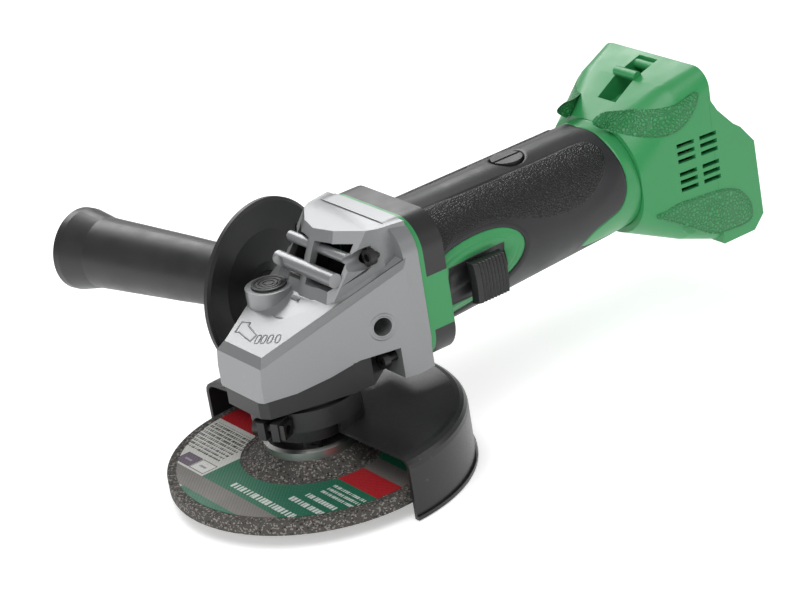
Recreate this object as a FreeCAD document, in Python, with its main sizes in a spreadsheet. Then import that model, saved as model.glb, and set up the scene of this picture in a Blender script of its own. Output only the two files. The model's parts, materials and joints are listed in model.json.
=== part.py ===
import FreeCAD, Part
import math
import os
import re
import Sketcher
from FreeCAD import Placement, Rotation, Vector

# Cordless angle grinder, in millimetres.
# Origin: on the spindle's axis, at the lower face of the wheel nut.
# +Z runs up the spindle, +X runs back to the battery end, -Y is the switch side.

# Driving sizes. Each becomes one cell of the sheet, with this name as its alias.
SIZES = {
    # grinding wheel, nut and flange
    "wheel_radius": 62.5,
    "wheel_thick": 6.0,
    "wheel_dish": 5.0,
    "wheel_bore": 11.115,
    "wheel_hub": 20.0,
    "wheel_cone": 9.0,
    "bush_wall": 1.2,
    "label_inner": 31.5,
    "label_outer": 58.5,
    "label_thick": 0.25,
    "nut_radius": 20.5,
    "nut_thick": 4.0,
    "nut_pin_circle": 15.0,
    "nut_pin_radius": 2.3,
    "flange_radius": 20.5,
    "flange_thick": 4.5,
    "pilot_depth": 3.5,
    # spindle and its bearings
    "thread_radius": 7.0,
    "spindle_start": 0.5,
    "collar_radius": 8.5,
    "journal_radius": 7.5,
    "bearing_low": 24.0,
    "bearing_radius": 16.0,
    "bearing_wide": 9.0,
    "gear_seat": 6.5,
    "gear_seat_top": 59.6,
    "tip_radius": 3.0,
    "tip_top": 67.3,
    "bush_radius": 5.0,
    "bush_low": 61.8,
    "ring_thick": 1.2,
    # bevel gears
    "motor_height": 68.0,
    "gear_teeth": 31.0,
    "pinion_teeth": 13.0,
    "gear_pitch": 13.3,
    "tooth_face": 4.4,
    "backlash": 0.12,
    "gear_foot": 34.0,
    "gear_hub": 10.0,
    "lock_disc_radius": 19.4,
    "lock_disc_low": 46.0,
    "lock_disc_thick": 4.5,
    # spindle lock
    "lock_x": 2.0,
    "lock_y": 16.0,
    "lock_pin": 2.2,
    "lock_pin_gap": 1.0,
    "lock_button": 7.5,
    "lock_boss": 10.2,
    "lock_boss_top": 75.6,
    "lock_button_top": 76.6,
    "lock_button_thick": 3.4,
    "lock_floor": 66.6,
    # gear case
    "wall": 2.6,
    "nose_foot": 29.9,
    "nose_edge": 27.7,
    "nose_top": 24.8,
    "nose_half": 15.7,
    "side_angle": 14.5,
    "case_low": 43.0,
    "nose_edge_height": 57.8,
    "nose_top_height": 61.5,
    "roof_rise": 0.40,
    "case_back": 45.0,
    "case_foot": 35.0,
    "arch_height": 48.8,
    "arch_start": 13.0,
    "arch_back": 30.5,
    "rim_half": 33.0,
    "rim_top": 100.0,
    "rim_corner": 14.0,
    "hump_front": 3.0,
    "hump_half": 20.5,
    "hump_top": 99.5,
    "hump_crest": 18.0,
    "hump_shoulder": 29.0,
    "rib_half": 2.4,
    "vent_half": 19.4,
    "vent_low": 78.5,
    "vent_high": 95.0,
    "louvre": 2.3,
    # bearing holder, guard collar and guard
    "neck_low": 16.6,
    "neck_small": 17.0,
    "neck_radius": 20.9,
    "neck_step": 23.6,
    "holder_low": 35.0,
    "collar_low": 24.6,
    "collar_high": 33.4,
    "collar_wall": 2.5,
    "collar_play": 0.08,
    "guard_radius": 66.6,
    "guard_sheet": 1.6,
    "guard_roof": 20.6,
    "guard_foot": -7.0,
    "guard_shoulder": 5.0,
    "guard_span": 186.0,
    "guard_aim": 5.0,
    # side handle
    "handle_x": 24.5,
    "handle_y": 29.8,
    "handle_height": 60.3,
    "handle_boss": 8.2,
    "handle_thread": 4.0,
    "handle_thread_depth": 13.0,
    "handle_disc": 21.4,
    "handle_disc_radius": 38.0,
    "handle_length": 133.0,
    "handle_thin": 13.0,
    "handle_thick": 16.0,
    "handle_flare": 18.5,
    # motor
    "shaft_radius": 4.0,
    "pinion_bore": 2.5,
    "front_bearing_x": 31.0,
    "rear_bearing_x": 132.0,
    "small_bearing": 11.0,
    "small_bearing_wide": 7.0,
    "rear_bearing": 9.5,
    "rear_journal": 3.5,
    "rear_bearing_wide": 6.0,
    "fan_x": 46.5,
    "fan_radius": 23.5,
    "fan_wide": 9.0,
    "fan_blades": 11.0,
    "core_start": 66.0,
    "core_end": 100.0,
    "core_radius": 14.4,
    "core_slots": 12.0,
    "magnet_inner": 15.0,
    "magnet_outer": 18.4,
    "yoke_radius": 20.6,
    "brush_x": 119.0,
    "commutator_radius": 9.6,
    "commutator_start": 110.5,
    "commutator_end": 127.0,
    "commutator_bars": 24.0,
    "brush_length": 7.0,
    "brush_wide": 8.0,
    "brush_deep": 6.0,
    "brush_tube": 1.0,
    "brush_cap": 7.0,
    "brush_cap_thick": 4.0,
    "brush_top": 94.6,
    "brush_bottom": 43.6,
    # housing and grip
    "flange_back": 58.0,
    "barrel_start": 70.0,
    "barrel_end": 166.0,
    "grip_half": 30.0,
    "grip_tall": 27.6,
    "grip_height": 66.6,
    "tail_grip_half": 29.6,
    "tail_grip_tall": 25.2,
    "tail_grip_height": 70.0,
    "skin": 1.8,
    "housing_wall": 2.2,
    # switch
    "knob_x": 79.5,
    "knob_long": 17.0,
    "knob_tall": 19.0,
    "knob_height": 61.6,
    "knob_out": 34.0,
    "switch_travel": 7.0,
    "bar_thick": 1.8,
    "bar_tall": 7.0,
    "bar_y": 22.6,
    # tail cover
    "tail_start": 166.2,
    "tail_mid": 188.0,
    "tail_wall_x": 205.0,
    "tail_end": 228.0,
    "tail_half": 35.5,
    "tail_top": 113.0,
    "tail_low": 31.0,
    "cheek_top": 84.0,
    "bay_half": 28.0,
    "bay_depth": 21.0,
    "rail_deep": 3.0,
    "rail_thick": 3.2,
    "strap_long": 26.0,
    "strap_half": 6.0,
    "strap_x": 189.5,
    # screws and clearances
    "screw_radius": 2.0,
    "screw_head": 3.7,
    "screw_head_tall": 3.0,
    "play": 0.15,
    "run": 0.05,
}

# Places that follow from the sizes. Each name may be used like a size.
PLACES = {
    "hub_low": "nut_thick",
    "hub_high": "hub_low + wheel_thick",
    "rim_low": "hub_low - wheel_dish",
    "rim_high": "rim_low + wheel_thick",
    "shoulder": "hub_high + flange_thick",
    "bearing_high": "bearing_low + bearing_wide",
    "ring_top": "bearing_high + ring_thick",
    "lock_disc_top": "lock_disc_low + lock_disc_thick",
    "guard_inner": "guard_radius - guard_sheet",
    "collar_inner": "neck_radius + collar_play",
    "collar_outer": "collar_inner + collar_wall",
    "rear_bearing_end": "rear_bearing_x + rear_bearing_wide",
    "yoke_start": "core_start - 4",
    "yoke_end": "core_end + 4",
    "knob_front": "knob_x - knob_long / 2",
    "knob_rear": "knob_x + knob_long / 2",
    "bay_x": "tail_end - bay_depth",
}

NAME = re.compile(r"[a-z][a-z_0-9]*")
doc = FreeCAD.newDocument("angle_grinder")
sheet = doc.addObject("Spreadsheet::Sheet", "Sizes")
nodes = []


def fill_sheet():
    """One row for each driving size: its name and its plain number, with the name as alias."""
    for row, (name, value) in enumerate(SIZES.items(), 1):
        sheet.set("A%d" % row, name)
        sheet.set("B%d" % row, str(value))
        sheet.setAlias("B%d" % row, name)
    doc.recompute()


def spelled(text, lead):
    """An expression with its places written out and its sizes led by the sheet's name."""
    def swap(found):
        word = found.group(0)
        if word in PLACES:
            return "(" + spelled(PLACES[word], lead) + ")"
        if word == "side_angle":
            return lead + word + " * 1deg" if lead else word + " * 1deg"
        return lead + word if word in SIZES else word
    return NAME.sub(swap, str(text))


def number(text):
    """The value of an expression, in millimetres or as a plain number."""
    return float(sheet.evalExpression(spelled(text, "")))


def bind(thing, place, text):
    """Ties one property of an object to the sheet."""
    thing.setExpression(place, spelled(text, "Sizes."))


def origin_plane(body, role):
    """One of the body's own origin planes."""
    return [part for part in body.Origin.OriginFeatures if part.Role == role][0]


def node(thing, name):
    """Marks an object as a finished sub-part with this name."""
    thing.Label = name
    nodes.append(thing)
    return thing


def moved(thing, x="0", y="0", z="0", turn=None):
    """Gives an object its place, tied to the sheet, and a turn if it has one."""
    if turn:
        thing.Placement = Placement(Vector(0, 0, 0), turn)
    for axis, text in zip("xyz", (x, y, z)):
        if str(text) != "0":
            bind(thing, "Placement.Base." + axis, text)
    return thing


def polygon_in(sketch, outline):
    """A closed outline of straight lines whose corners are tied to the sheet."""
    corners = [Vector(number(a), number(b), 0) for a, b in outline]
    count = len(corners)
    for i in range(count):
        sketch.addGeometry(Part.LineSegment(corners[i], corners[(i + 1) % count]), False)
    for i in range(count):
        sketch.addConstraint(Sketcher.Constraint("Coincident", i, 2, (i + 1) % count, 1))
    for i, (a, b) in enumerate(outline):
        for kind, text, value in (("DistanceX", a, corners[i].x), ("DistanceY", b, corners[i].y)):
            at = sketch.addConstraint(Sketcher.Constraint(kind, -1, 1, i, 1, value))
            sketch.setExpression("Constraints[%d]" % at, spelled(text, "Sizes."))


def sketch_on(body, name, role, outline, offset="0"):
    """A sketch on one of the body's origin planes, or parallel to it at an offset."""
    sketch = body.newObject("Sketcher::SketchObject", name)
    sketch.AttachmentSupport = [(origin_plane(body, role), "")]
    sketch.MapMode = "FlatFace"
    if str(offset) != "0":
        sketch.setExpression("AttachmentOffset.Base.z", spelled(offset, "Sizes."))
    if isinstance(outline, dict):
        circle_in(sketch, outline)
    else:
        polygon_in(sketch, outline)
    return sketch


def circle_in(sketch, ring):
    """A circle with its centre and radius tied to the sheet."""
    centre = Vector(number(ring["a"]), number(ring["b"]), 0)
    sketch.addGeometry(Part.Circle(centre, Vector(0, 0, 1), number(ring["radius"])), False)
    rules = (("DistanceX", (-1, 1, 0, 3), ring["a"], centre.x),
             ("DistanceY", (-1, 1, 0, 3), ring["b"], centre.y),
             ("Radius", (0,), ring["radius"], number(ring["radius"])))
    for kind, points, text, value in rules:
        at = sketch.addConstraint(Sketcher.Constraint(kind, *points, value))
        sketch.setExpression("Constraints[%d]" % at, spelled(text, "Sizes."))


def turned(name, outline, axis="Z", angle=360):
    """A body of revolution. About Z the outline is (radius, height); about X, (length, radius)."""
    body = doc.addObject("PartDesign::Body", name)
    sketch = sketch_on(body, name + "_outline", "XZ_Plane", outline)
    turn = body.newObject("PartDesign::Revolution", name + "_turn")
    turn.Profile = sketch
    turn.ReferenceAxis = (sketch, ["V_Axis" if axis == "Z" else "H_Axis"])
    turn.Angle = angle
    turn.Midplane = angle < 360
    return body


def prism(name, plane, outline, start, end):
    """A body padded from start to end along the plane's own axis."""
    body = doc.addObject("PartDesign::Body", name)
    offset = "-(%s)" % end if plane == "XZ_Plane" else start
    sketch = sketch_on(body, name + "_outline", plane, outline, offset)
    pad = body.newObject("PartDesign::Pad", name + "_pad")
    pad.Profile = sketch
    bind(pad, "Length", "(%s) - (%s)" % (end, start))
    return body


def block(name, x, y, z):
    """A box given by its lowest and highest value along each axis."""
    box = doc.addObject("Part::Box", name)
    for side, (low, high) in zip(("Length", "Width", "Height"), (x, y, z)):
        bind(box, side, "(%s) - (%s)" % (high, low))
    return moved(box, x[0], y[0], z[0])


AIMS = {"X": Rotation(Vector(0, 1, 0), 90), "Y": Rotation(Vector(1, 0, 0), -90),
        "-Y": Rotation(Vector(1, 0, 0), 90), "Z": Rotation()}
# Turns a flat outline so that its own X runs across the tool and its own Y runs up.
FACING_X = Rotation(Vector(0, 1, 0), Vector(0, 0, 1), Vector(1, 0, 0), "XYZ")


def rod(name, radius, start, length, x="0", y="0", z="0", axis="Z"):
    """A cylinder along one axis, from start, through the point (x, y, z)."""
    bar = doc.addObject("Part::Cylinder", name)
    bind(bar, "Radius", radius)
    bind(bar, "Height", length)
    place = {"X": x, "Y": y, "Z": z}
    place[axis] = start
    return moved(bar, place["X"], place["Y"], place["Z"], AIMS[axis])


def ring(name, inner, outer, start, end, axis="Z"):
    """A plain ring about the Z axis, or about the motor's axis."""
    if axis == "Z":
        return turned(name, [(inner, start), (outer, start), (outer, end), (inner, end)])
    body = turned(name, [(start, inner), (end, inner), (end, outer), (start, outer)], "X")
    return moved(body, z="motor_height")


def fuse(name, parts):
    """All of these objects joined into one."""
    joined = doc.addObject("Part::MultiFuse", name)
    joined.Shapes = parts
    joined.Refine = False
    return joined


def cut(name, base, tools):
    """The base with each tool taken away."""
    tool = tools[0] if len(tools) == 1 else fuse(name + "_tools", tools)
    result = doc.addObject("Part::Cut", name)
    result.Base = base
    result.Tool = tool
    result.Refine = False
    return result


def common(name, first, second):
    """What two objects share."""
    result = doc.addObject("Part::Common", name)
    result.Base = first
    result.Tool = second
    result.Refine = False
    return result


def group(name, parts):
    """Several separate solids kept together as one sub-part."""
    bundle = doc.addObject("Part::Compound", name)
    bundle.Links = parts
    return bundle


def pattern(body, feature, count, axis="X_Axis"):
    """Repeats a feature evenly all round one of the body's own axes."""
    polar = body.newObject("PartDesign::PolarPattern", body.Name + "_round")
    polar.Originals = [feature]
    polar.Axis = (origin_plane(body, axis), [""])
    polar.Angle = 360
    bind(polar, "Occurrences", count)
    body.Tip = polar
    return polar


# ---------------------------------------------------------------- wheel and spindle

def make_wheel():
    """The depressed-centre wheel with its paper label and steel bore ring."""
    inner = "wheel_bore + bush_wall"
    outline = [(inner, "hub_low"), ("nut_radius + 0.6", "hub_low"), ("wheel_hub + wheel_cone - 1", "rim_low"),
               ("wheel_radius", "rim_low"), ("wheel_radius", "rim_high"),
               ("wheel_hub + wheel_cone", "rim_high"), ("wheel_hub + 1.4", "hub_high"), (inner, "hub_high")]
    node(turned("wheel_body", outline), "grinding_wheel")
    node(ring("wheel_bore_ring", "wheel_bore", inner, "hub_low", "hub_high"), "wheel_bush_ring")
    node(ring("wheel_paper", "label_inner", "label_outer", "rim_high", "rim_high + label_thick"), "wheel_label")


def make_clamp():
    """The inner flange with its pilot, and the nut with two pin holes."""
    outline = [("thread_radius", "hub_high - pilot_depth"), ("wheel_bore - run", "hub_high - pilot_depth"),
               ("wheel_bore - run", "hub_high"), ("flange_radius", "hub_high"),
               ("flange_radius", "shoulder - 1"), ("flange_radius - 1.5", "shoulder"),
               ("thread_radius", "shoulder")]
    node(turned("flange_turned", outline), "inner_flange")
    outline = [("thread_radius", "0"), ("nut_radius - 1", "0"), ("nut_radius", "1"),
               ("nut_radius", "nut_thick"), ("thread_radius", "nut_thick")]
    plain = turned("nut_turned", outline)
    holes = [rod("nut_pin_hole_%d" % i, "nut_pin_radius", "-1", "nut_thick + 2", y="%d * nut_pin_circle" % side)
             for i, side in enumerate((-1, 1))]
    node(cut("nut_drilled", plain, holes), "wheel_nut")


def make_spindle():
    """The spindle: thread, collar, bearing journal, gear seat with a ring groove, and top journal."""
    ring_low = "gear_seat_top - 1.6"
    outline = [("0", "spindle_start"), ("thread_radius - 1", "spindle_start"),
               ("thread_radius", "spindle_start + 1"), ("thread_radius", "shoulder"),
               ("collar_radius", "shoulder"), ("collar_radius", "bearing_low"),
               ("journal_radius", "bearing_low"), ("journal_radius", "gear_foot"),
               ("gear_seat", "gear_foot"), ("gear_seat", ring_low), ("gear_seat - 0.6", ring_low),
               ("gear_seat - 0.6", ring_low + " + ring_thick"), ("gear_seat", ring_low + " + ring_thick"),
               ("gear_seat", "gear_seat_top"), ("tip_radius", "gear_seat_top"), ("tip_radius", "tip_top"),
               ("0", "tip_top")]
    node(turned("spindle_turned", outline), "spindle")
    node(ring("gear_ring", "gear_seat - 0.6", "gear_seat + 1.5", ring_low, ring_low + " + ring_thick"),
         "gear_circlip")
    node(ring("top_bush", "tip_radius + run", "bush_radius", "bush_low", "tip_top"), "upper_bush")


def make_bearing(name, inner, outer, start, wide, count, axis="Z"):
    """A deep-groove ball bearing: two rings with a round groove each, and its balls."""
    pitch = "(%s + %s) / 2" % (inner, outer)
    ball = "(%s - %s) / 5" % (outer, inner)
    end = "%s + %s" % (start, wide)
    middle = number("%s + %s / 2" % (start, wide))
    land = "(%s - %s) / 9" % (outer, inner)
    rings = (("inner", inner, "%s - %s" % (pitch, land)), ("outer", "%s + %s" % (pitch, land), outer))
    height = number("motor_height")
    for part, low, high in rings:
        plain = ring("%s_%s_ring" % (name, part), low, high, start, end, axis)
        groove = doc.addObject("Part::Torus", "%s_%s_groove" % (name, part))
        bind(groove, "Radius1", pitch)
        bind(groove, "Radius2", ball + " + run")
        if axis == "Z":
            moved(groove, z="%s + %s / 2" % (start, wide))
        else:
            moved(groove, x="%s + %s / 2" % (start, wide), z="motor_height", turn=AIMS["X"])
        node(cut("%s_%s_cut" % (name, part), plain, [groove]), "%s_%s" % (name, part))
    balls = []
    for i in range(count):
        angle = 2 * math.pi * i / count
        across, up = number(pitch) * math.cos(angle), number(pitch) * math.sin(angle)
        sphere = doc.addObject("Part::Sphere", "%s_ball_%d" % (name, i))
        bind(sphere, "Radius", ball)
        spot = Vector(across, up, middle) if axis == "Z" else Vector(middle, across, up + height)
        sphere.Placement = Placement(spot, Rotation())
        balls.append(sphere)
    node(group(name + "_ball_set", balls), name + "_balls")


# ---------------------------------------------------------------- bevel gears

def bevel_tooth(teeth, pitch_radius, cone, module, face, slack, sink):
    """One straight bevel tooth about +Z, apex at the origin, wide end away from it.

    The tooth's outline is drawn in the plane square to the pitch cone: an involute of the
    virtual spur gear on each flank. The narrow end is that outline drawn in to the apex.
    """
    virtual = pitch_radius / math.cos(cone)
    base = virtual * math.cos(math.radians(20))
    tip, root = virtual + module, virtual - 1.2 * module
    half = math.pi * module / 4 - slack / 2
    spread = half / virtual + math.tan(math.radians(20)) - math.radians(20)
    flank = []
    for step in range(5):
        reach = max(base, root) + (tip - max(base, root)) * step / 4
        roll = math.sqrt(max(reach ** 2 / base ** 2 - 1, 0))
        angle = spread - (roll - math.atan(roll))
        flank.append((reach * math.sin(angle), reach * math.cos(angle) - virtual))
    foot = (flank[0][0], root - virtual - sink)
    side = [foot] + flank
    outline = side + [(-u, v) for u, v in reversed(side)]
    away = Vector(math.sin(cone), 0, math.cos(cone))
    out = Vector(math.cos(cone), 0, -math.sin(cone))
    reach = pitch_radius / math.sin(cone)
    wide = [away * reach + out * v + Vector(0, u, 0) for u, v in outline]
    share = (reach - face) / reach
    narrow = [corner * share for corner in wide]
    wires = [Part.makePolygon(ends + [ends[0]]) for ends in (wide, narrow)]
    return Part.makeLoft(wires, True, True)


def toothed(blank, teeth, pitch_radius, cone, module, first_angle):
    """A gear blank about +Z with its teeth joined on."""
    tooth = bevel_tooth(teeth, pitch_radius, cone, module, number("tooth_face"), number("backlash"), 0.35)
    copies = []
    for i in range(int(teeth)):
        copy = tooth.copy()
        copy.rotate(Vector(0, 0, 0), Vector(0, 0, 1), first_angle + 360.0 * i / teeth)
        copies.append(copy)
    return blank.multiFuse(copies).removeSplitter()


def revolved(outline, angle=360):
    """A solid turned about Z from (radius, height) corners given as numbers."""
    points = [Vector(radius, 0, height) for radius, height in outline]
    face = Part.Face(Part.makePolygon(points + [points[0]]))
    return face.revolve(Vector(0, 0, 0), Vector(0, 0, 1), angle)


def cone_foot(pitch_radius, cone, drop, share):
    """Where a line set below the pitch cone by drop lies, at this share of the way from the apex."""
    reach = pitch_radius / math.sin(cone)
    radius = reach * math.sin(cone) - drop * math.cos(cone)
    height = reach * math.cos(cone) + drop * math.sin(cone)
    return radius * share, height * share


def make_gears():
    """The bevel gear with its lock disc, and the pinion, meshing at the motor's axis."""
    teeth, few = number("gear_teeth"), number("pinion_teeth")
    pitch = number("gear_pitch")
    module = 2 * pitch / teeth
    wide_cone, slim_cone = math.atan2(teeth, few), math.atan2(few, teeth)
    reach = pitch / math.sin(wide_cone)
    share = (reach - number("tooth_face")) / reach
    apex = number("motor_height")
    drop = 1.2 * module
    outer, inner = cone_foot(pitch, wide_cone, drop, 1), cone_foot(pitch, wide_cone, drop, share)
    seat, hub, disc = number("gear_seat"), number("gear_hub"), number("lock_disc_radius")
    low, top = number("lock_disc_low"), number("lock_disc_top")
    ring_low = number("gear_seat_top - 1.6")
    blank = revolved([(seat, apex - number("gear_foot")), (hub, apex - number("gear_foot")),
                      (hub, apex - low), (disc, apex - low), (disc, apex - top),
                      (outer[0], apex - top), outer, inner, (inner[0], apex - ring_low),
                      (seat, apex - ring_low)])
    solid = toothed(blank, teeth, pitch, wide_cone, module, 180.0 / teeth)
    solid.rotate(Vector(0, 0, 0), Vector(1, 0, 0), 180)
    solid.translate(Vector(0, 0, apex))
    place = Vector(number("lock_x"), number("lock_y"), 0)
    for quarter in range(4):
        hole = Part.makeCylinder(number("lock_pin + 4 * run"), number("lock_disc_thick + 2"),
                                 Vector(place.x, place.y, low - 1))
        hole.rotate(Vector(0, 0, 0), Vector(0, 0, 1), 90 * quarter)
        solid = solid.cut(hole)
    gear = doc.addObject("Part::Feature", "bevel_gear_cut")
    gear.Shape = solid
    node(gear, "bevel_gear")

    small = pitch * few / teeth
    outer, inner = cone_foot(small, slim_cone, drop, 1), cone_foot(small, slim_cone, drop, share)
    bore, back = number("pinion_bore"), number("front_bearing_x - 3")
    blank = revolved([(bore, inner[1]), inner, outer, (outer[0] + 0.6, outer[1]),
                      (outer[0] + 0.6, back - 4), (number("shaft_radius + 1.5"), back), (bore, back)])
    solid = toothed(blank, few, small, slim_cone, module, 0)
    pinion = doc.addObject("Part::Feature", "pinion_cut")
    pinion.Shape = solid
    pinion.Placement = Placement(Vector(0, 0, apex), AIMS["X"])
    node(pinion, "pinion")


# ---------------------------------------------------------------- motor

def make_armature():
    """Shaft, slotted core, windings, commutator and fan, all about the motor's axis."""
    outline = [("gear_pitch - tooth_face", "0"), ("gear_pitch - tooth_face", "pinion_bore"),
               ("front_bearing_x - 3", "pinion_bore"), ("front_bearing_x - 3", "shaft_radius"),
               ("rear_bearing_x", "shaft_radius"), ("rear_bearing_x", "rear_journal"),
               ("rear_bearing_end + 1", "rear_journal"), ("rear_bearing_end + 1", "0")]
    node(moved(turned("shaft_turned", outline, "X"), z="motor_height"), "armature_shaft")

    outline = [("core_start", "shaft_radius"), ("core_end", "shaft_radius"),
               ("core_end", "core_radius"), ("core_start", "core_radius")]
    core = turned("core_stack", outline, "X")
    slot = sketch_on(core, "core_slot", "YZ_Plane",
                     [("-1.3", "core_radius * 0.55"), ("1.3", "core_radius * 0.55"),
                      ("1.3", "core_radius - 1.6"), ("0.7", "core_radius + 1"),
                      ("-0.7", "core_radius + 1"), ("-1.3", "core_radius - 1.6")], "core_start - 1")
    pocket = core.newObject("PartDesign::Pocket", "core_slot_cut")
    pocket.Profile = slot
    pocket.Reversed = True
    bind(pocket, "Length", "core_end - core_start + 2")
    pattern(core, pocket, "core_slots")
    node(moved(core, z="motor_height"), "armature_core")

    def end_turns(name, start, end):
        return turned(name, [(start, "shaft_radius + 0.4"), (end, "shaft_radius + 0.4"),
                             (end, "core_radius - 4.5"), ("(%s + %s) / 2" % (start, end), "core_radius - 1.6"),
                             (start, "core_radius - 4.5")], "X")
    front = end_turns("front_turns", "core_start - 6", "core_start - 0.1")
    rear = end_turns("rear_turns", "core_end + 0.1", "core_end + 6")
    node(moved(group("winding_ends", [front, rear]), z="motor_height"), "armature_windings")

    outline = [("commutator_start", "shaft_radius"), ("commutator_end", "shaft_radius"),
               ("commutator_end", "commutator_radius"), ("commutator_start + 2", "commutator_radius"),
               ("commutator_start + 2", "commutator_radius + 1.2"),
               ("commutator_start", "commutator_radius + 1.2")]
    drum = turned("commutator_drum", outline, "X")
    slit = sketch_on(drum, "commutator_slit", "YZ_Plane",
                     [("-0.25", "commutator_radius - 0.8"), ("0.25", "commutator_radius - 0.8"),
                      ("0.25", "commutator_radius + 2"), ("-0.25", "commutator_radius + 2")],
                     "commutator_start - 1")
    pocket = drum.newObject("PartDesign::Pocket", "commutator_slit_cut")
    pocket.Profile = slit
    pocket.Reversed = True
    bind(pocket, "Length", "commutator_end - commutator_start + 2")
    pattern(drum, pocket, "commutator_bars")
    node(moved(drum, z="motor_height"), "commutator")

    back = "fan_x + fan_wide"
    outline = [("fan_x", "shaft_radius"), ("fan_x", "shaft_radius + 4"), (back + " - 1.5", "shaft_radius + 6"),
               (back + " - 1.5", "fan_radius"), (back, "fan_radius"), (back, "shaft_radius")]
    fan = turned("fan_disc", outline, "X")
    blade = sketch_on(fan, "fan_blade", "YZ_Plane",
                      [("2", "shaft_radius + 4.5"), ("3.2", "shaft_radius + 4.5"), ("1.8", "fan_radius - 6"),
                       ("-2", "fan_radius - 0.4"), ("-3.4", "fan_radius - 0.4"), ("0.6", "fan_radius - 6")],
                      "fan_x + 0.6")
    pad = fan.newObject("PartDesign::Pad", "fan_blade_pad")
    pad.Profile = blade
    bind(pad, "Length", "fan_wide - 1")
    pattern(fan, pad, "fan_blades")
    node(moved(fan, z="motor_height"), "fan")


def make_field():
    """The steel yoke and the two magnets inside it."""
    node(ring("yoke_tube", "magnet_outer", "yoke_radius", "yoke_start", "yoke_end", "X"), "motor_yoke")
    shells = []
    for i, side in enumerate((-1, 1)):
        arc = turned("magnet_%d" % i,
                     [("core_start", "magnet_inner"), ("core_end", "magnet_inner"),
                      ("core_end", "magnet_outer"), ("core_start", "magnet_outer")], "X", 140)
        arc.Placement = Placement(Vector(0, 0, 0), Rotation(Vector(1, 0, 0), 90 * side))
        shells.append(arc)
    node(moved(group("magnet_pair", shells), z="motor_height"), "motor_magnets")


def make_brushes():
    """Both brushes with their guides, springs and slotted caps, above and below the commutator."""
    gap = "commutator_radius + 0.1"
    back = "commutator_radius + 0.1 + brush_length"
    brushes, guides, springs, caps = [], [], [], []
    for i, (side, reach) in enumerate(((1, "brush_top"), (-1, "brush_bottom"))):
        face = abs(number(reach) - number("motor_height"))
        seat = face - number("brush_cap_thick")
        up = doc.addObject("Part::Feature", "brush_%d" % i)
        wide, deep, tube = number("brush_wide"), number("brush_deep"), number("brush_tube")
        start, stop = number(gap), number(back)
        up.Shape = Part.makeBox(wide, deep, stop - start, Vector(-wide / 2, -deep / 2, start))
        guide = doc.addObject("Part::Feature", "brush_guide_%d" % i)
        outer = Part.makeBox(wide + 2 * tube, deep + 2 * tube, seat - start - 2,
                             Vector(-wide / 2 - tube, -deep / 2 - tube, start + 1.5))
        inner = Part.makeBox(wide + 0.1, deep + 0.1, 60, Vector(-wide / 2 - 0.05, -deep / 2 - 0.05, 0))
        guide.Shape = outer.cut(inner)
        coil = doc.addObject("Part::Feature", "brush_coil_%d" % i)
        coil.Shape = coil_shape(2.0, 0.3, stop + 0.1, seat - stop - 0.2, 3)
        cap = doc.addObject("Part::Feature", "brush_cap_%d" % i)
        plug = Part.makeCylinder(number("brush_cap"), face - seat, Vector(0, 0, seat))
        slot = Part.makeBox(2 * number("brush_cap") + 2, 1.4, 1.2,
                            Vector(-number("brush_cap") - 1, -0.7, face - 1.2))
        cap.Shape = plug.cut(slot)
        for thing, pile in ((up, brushes), (guide, guides), (coil, springs), (cap, caps)):
            flip = Rotation(Vector(1, 0, 0), 0 if side > 0 else 180)
            thing.Placement = Placement(Vector(number("brush_x"), 0, number("motor_height")), flip)
            pile.append(thing)
    node(group("brush_pair", brushes), "carbon_brushes")
    node(group("guide_pair", guides), "brush_holders")
    node(group("coil_pair", springs), "brush_springs")
    node(group("cap_pair", caps), "brush_caps")


def coil_shape(radius, wire, start, length, turns, sides=6, steps=14):
    """A coil spring about Z: a wire of flat facets carried along a helix."""
    count = int(steps * turns)
    rings = []
    for i in range(count + 1):
        angle = 2 * math.pi * turns * i / count
        out = Vector(math.cos(angle), math.sin(angle), 0)
        centre = out * radius + Vector(0, 0, start + wire + (length - 2 * wire) * i / count)
        rings.append([centre + out * (wire * math.cos(2 * math.pi * k / sides))
                      + Vector(0, 0, wire * math.sin(2 * math.pi * k / sides)) for k in range(sides)])
    faces = [Part.Face(Part.makePolygon(end + [end[0]])) for end in (rings[0], rings[-1])]
    for first, second in zip(rings, rings[1:]):
        for k in range(sides):
            n = (k + 1) % sides
            for corners in ((first[k], first[n], second[n]), (first[k], second[n], second[k])):
                faces.append(Part.Face(Part.makePolygon(list(corners) + [corners[0]])))
    return Part.makeSolid(Part.makeShell(faces))


# ---------------------------------------------------------------- spindle lock

def make_lock():
    """The lock button, its pin over the lock disc, and the spring that lifts them."""
    place = {"x": "lock_x", "y": "lock_y"}
    under = "lock_button_top - lock_button_thick"
    cap = rod("lock_cap", "lock_button", under, "lock_button_thick", axis="Z", **place)
    grooves = []
    for i, share in enumerate((0.30, 0.55, 0.80)):
        groove = doc.addObject("Part::Torus", "lock_cap_groove_%d" % i)
        bind(groove, "Radius1", "lock_button * %s" % share)
        groove.Radius2 = 0.35
        grooves.append(moved(groove, "lock_x", "lock_y", "lock_button_top"))
    node(cut("lock_cap_cut", cap, grooves), "lock_button")
    low = "lock_disc_top + lock_pin_gap"
    node(rod("lock_pin_rod", "lock_pin", low, "(%s) - (%s)" % (under, low), axis="Z", **place), "lock_pin")
    spring = doc.addObject("Part::Feature", "lock_coil")
    start, stop = number("lock_floor"), number(under)
    spring.Shape = coil_shape(number("lock_pin") + 1.6, 0.4, start + 0.1, stop - start - 0.2, 4)
    spring.Placement = Placement(Vector(number("lock_x"), number("lock_y"), 0), Rotation())
    node(spring, "lock_spring")


# ---------------------------------------------------------------- gear case

def half_at(place, inset="0"):
    """Half the case's width at this place along X, drawn in by an inset."""
    return "nose_half + (%s + nose_foot) * tan(side_angle) - (%s)" % (place, inset)


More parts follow.
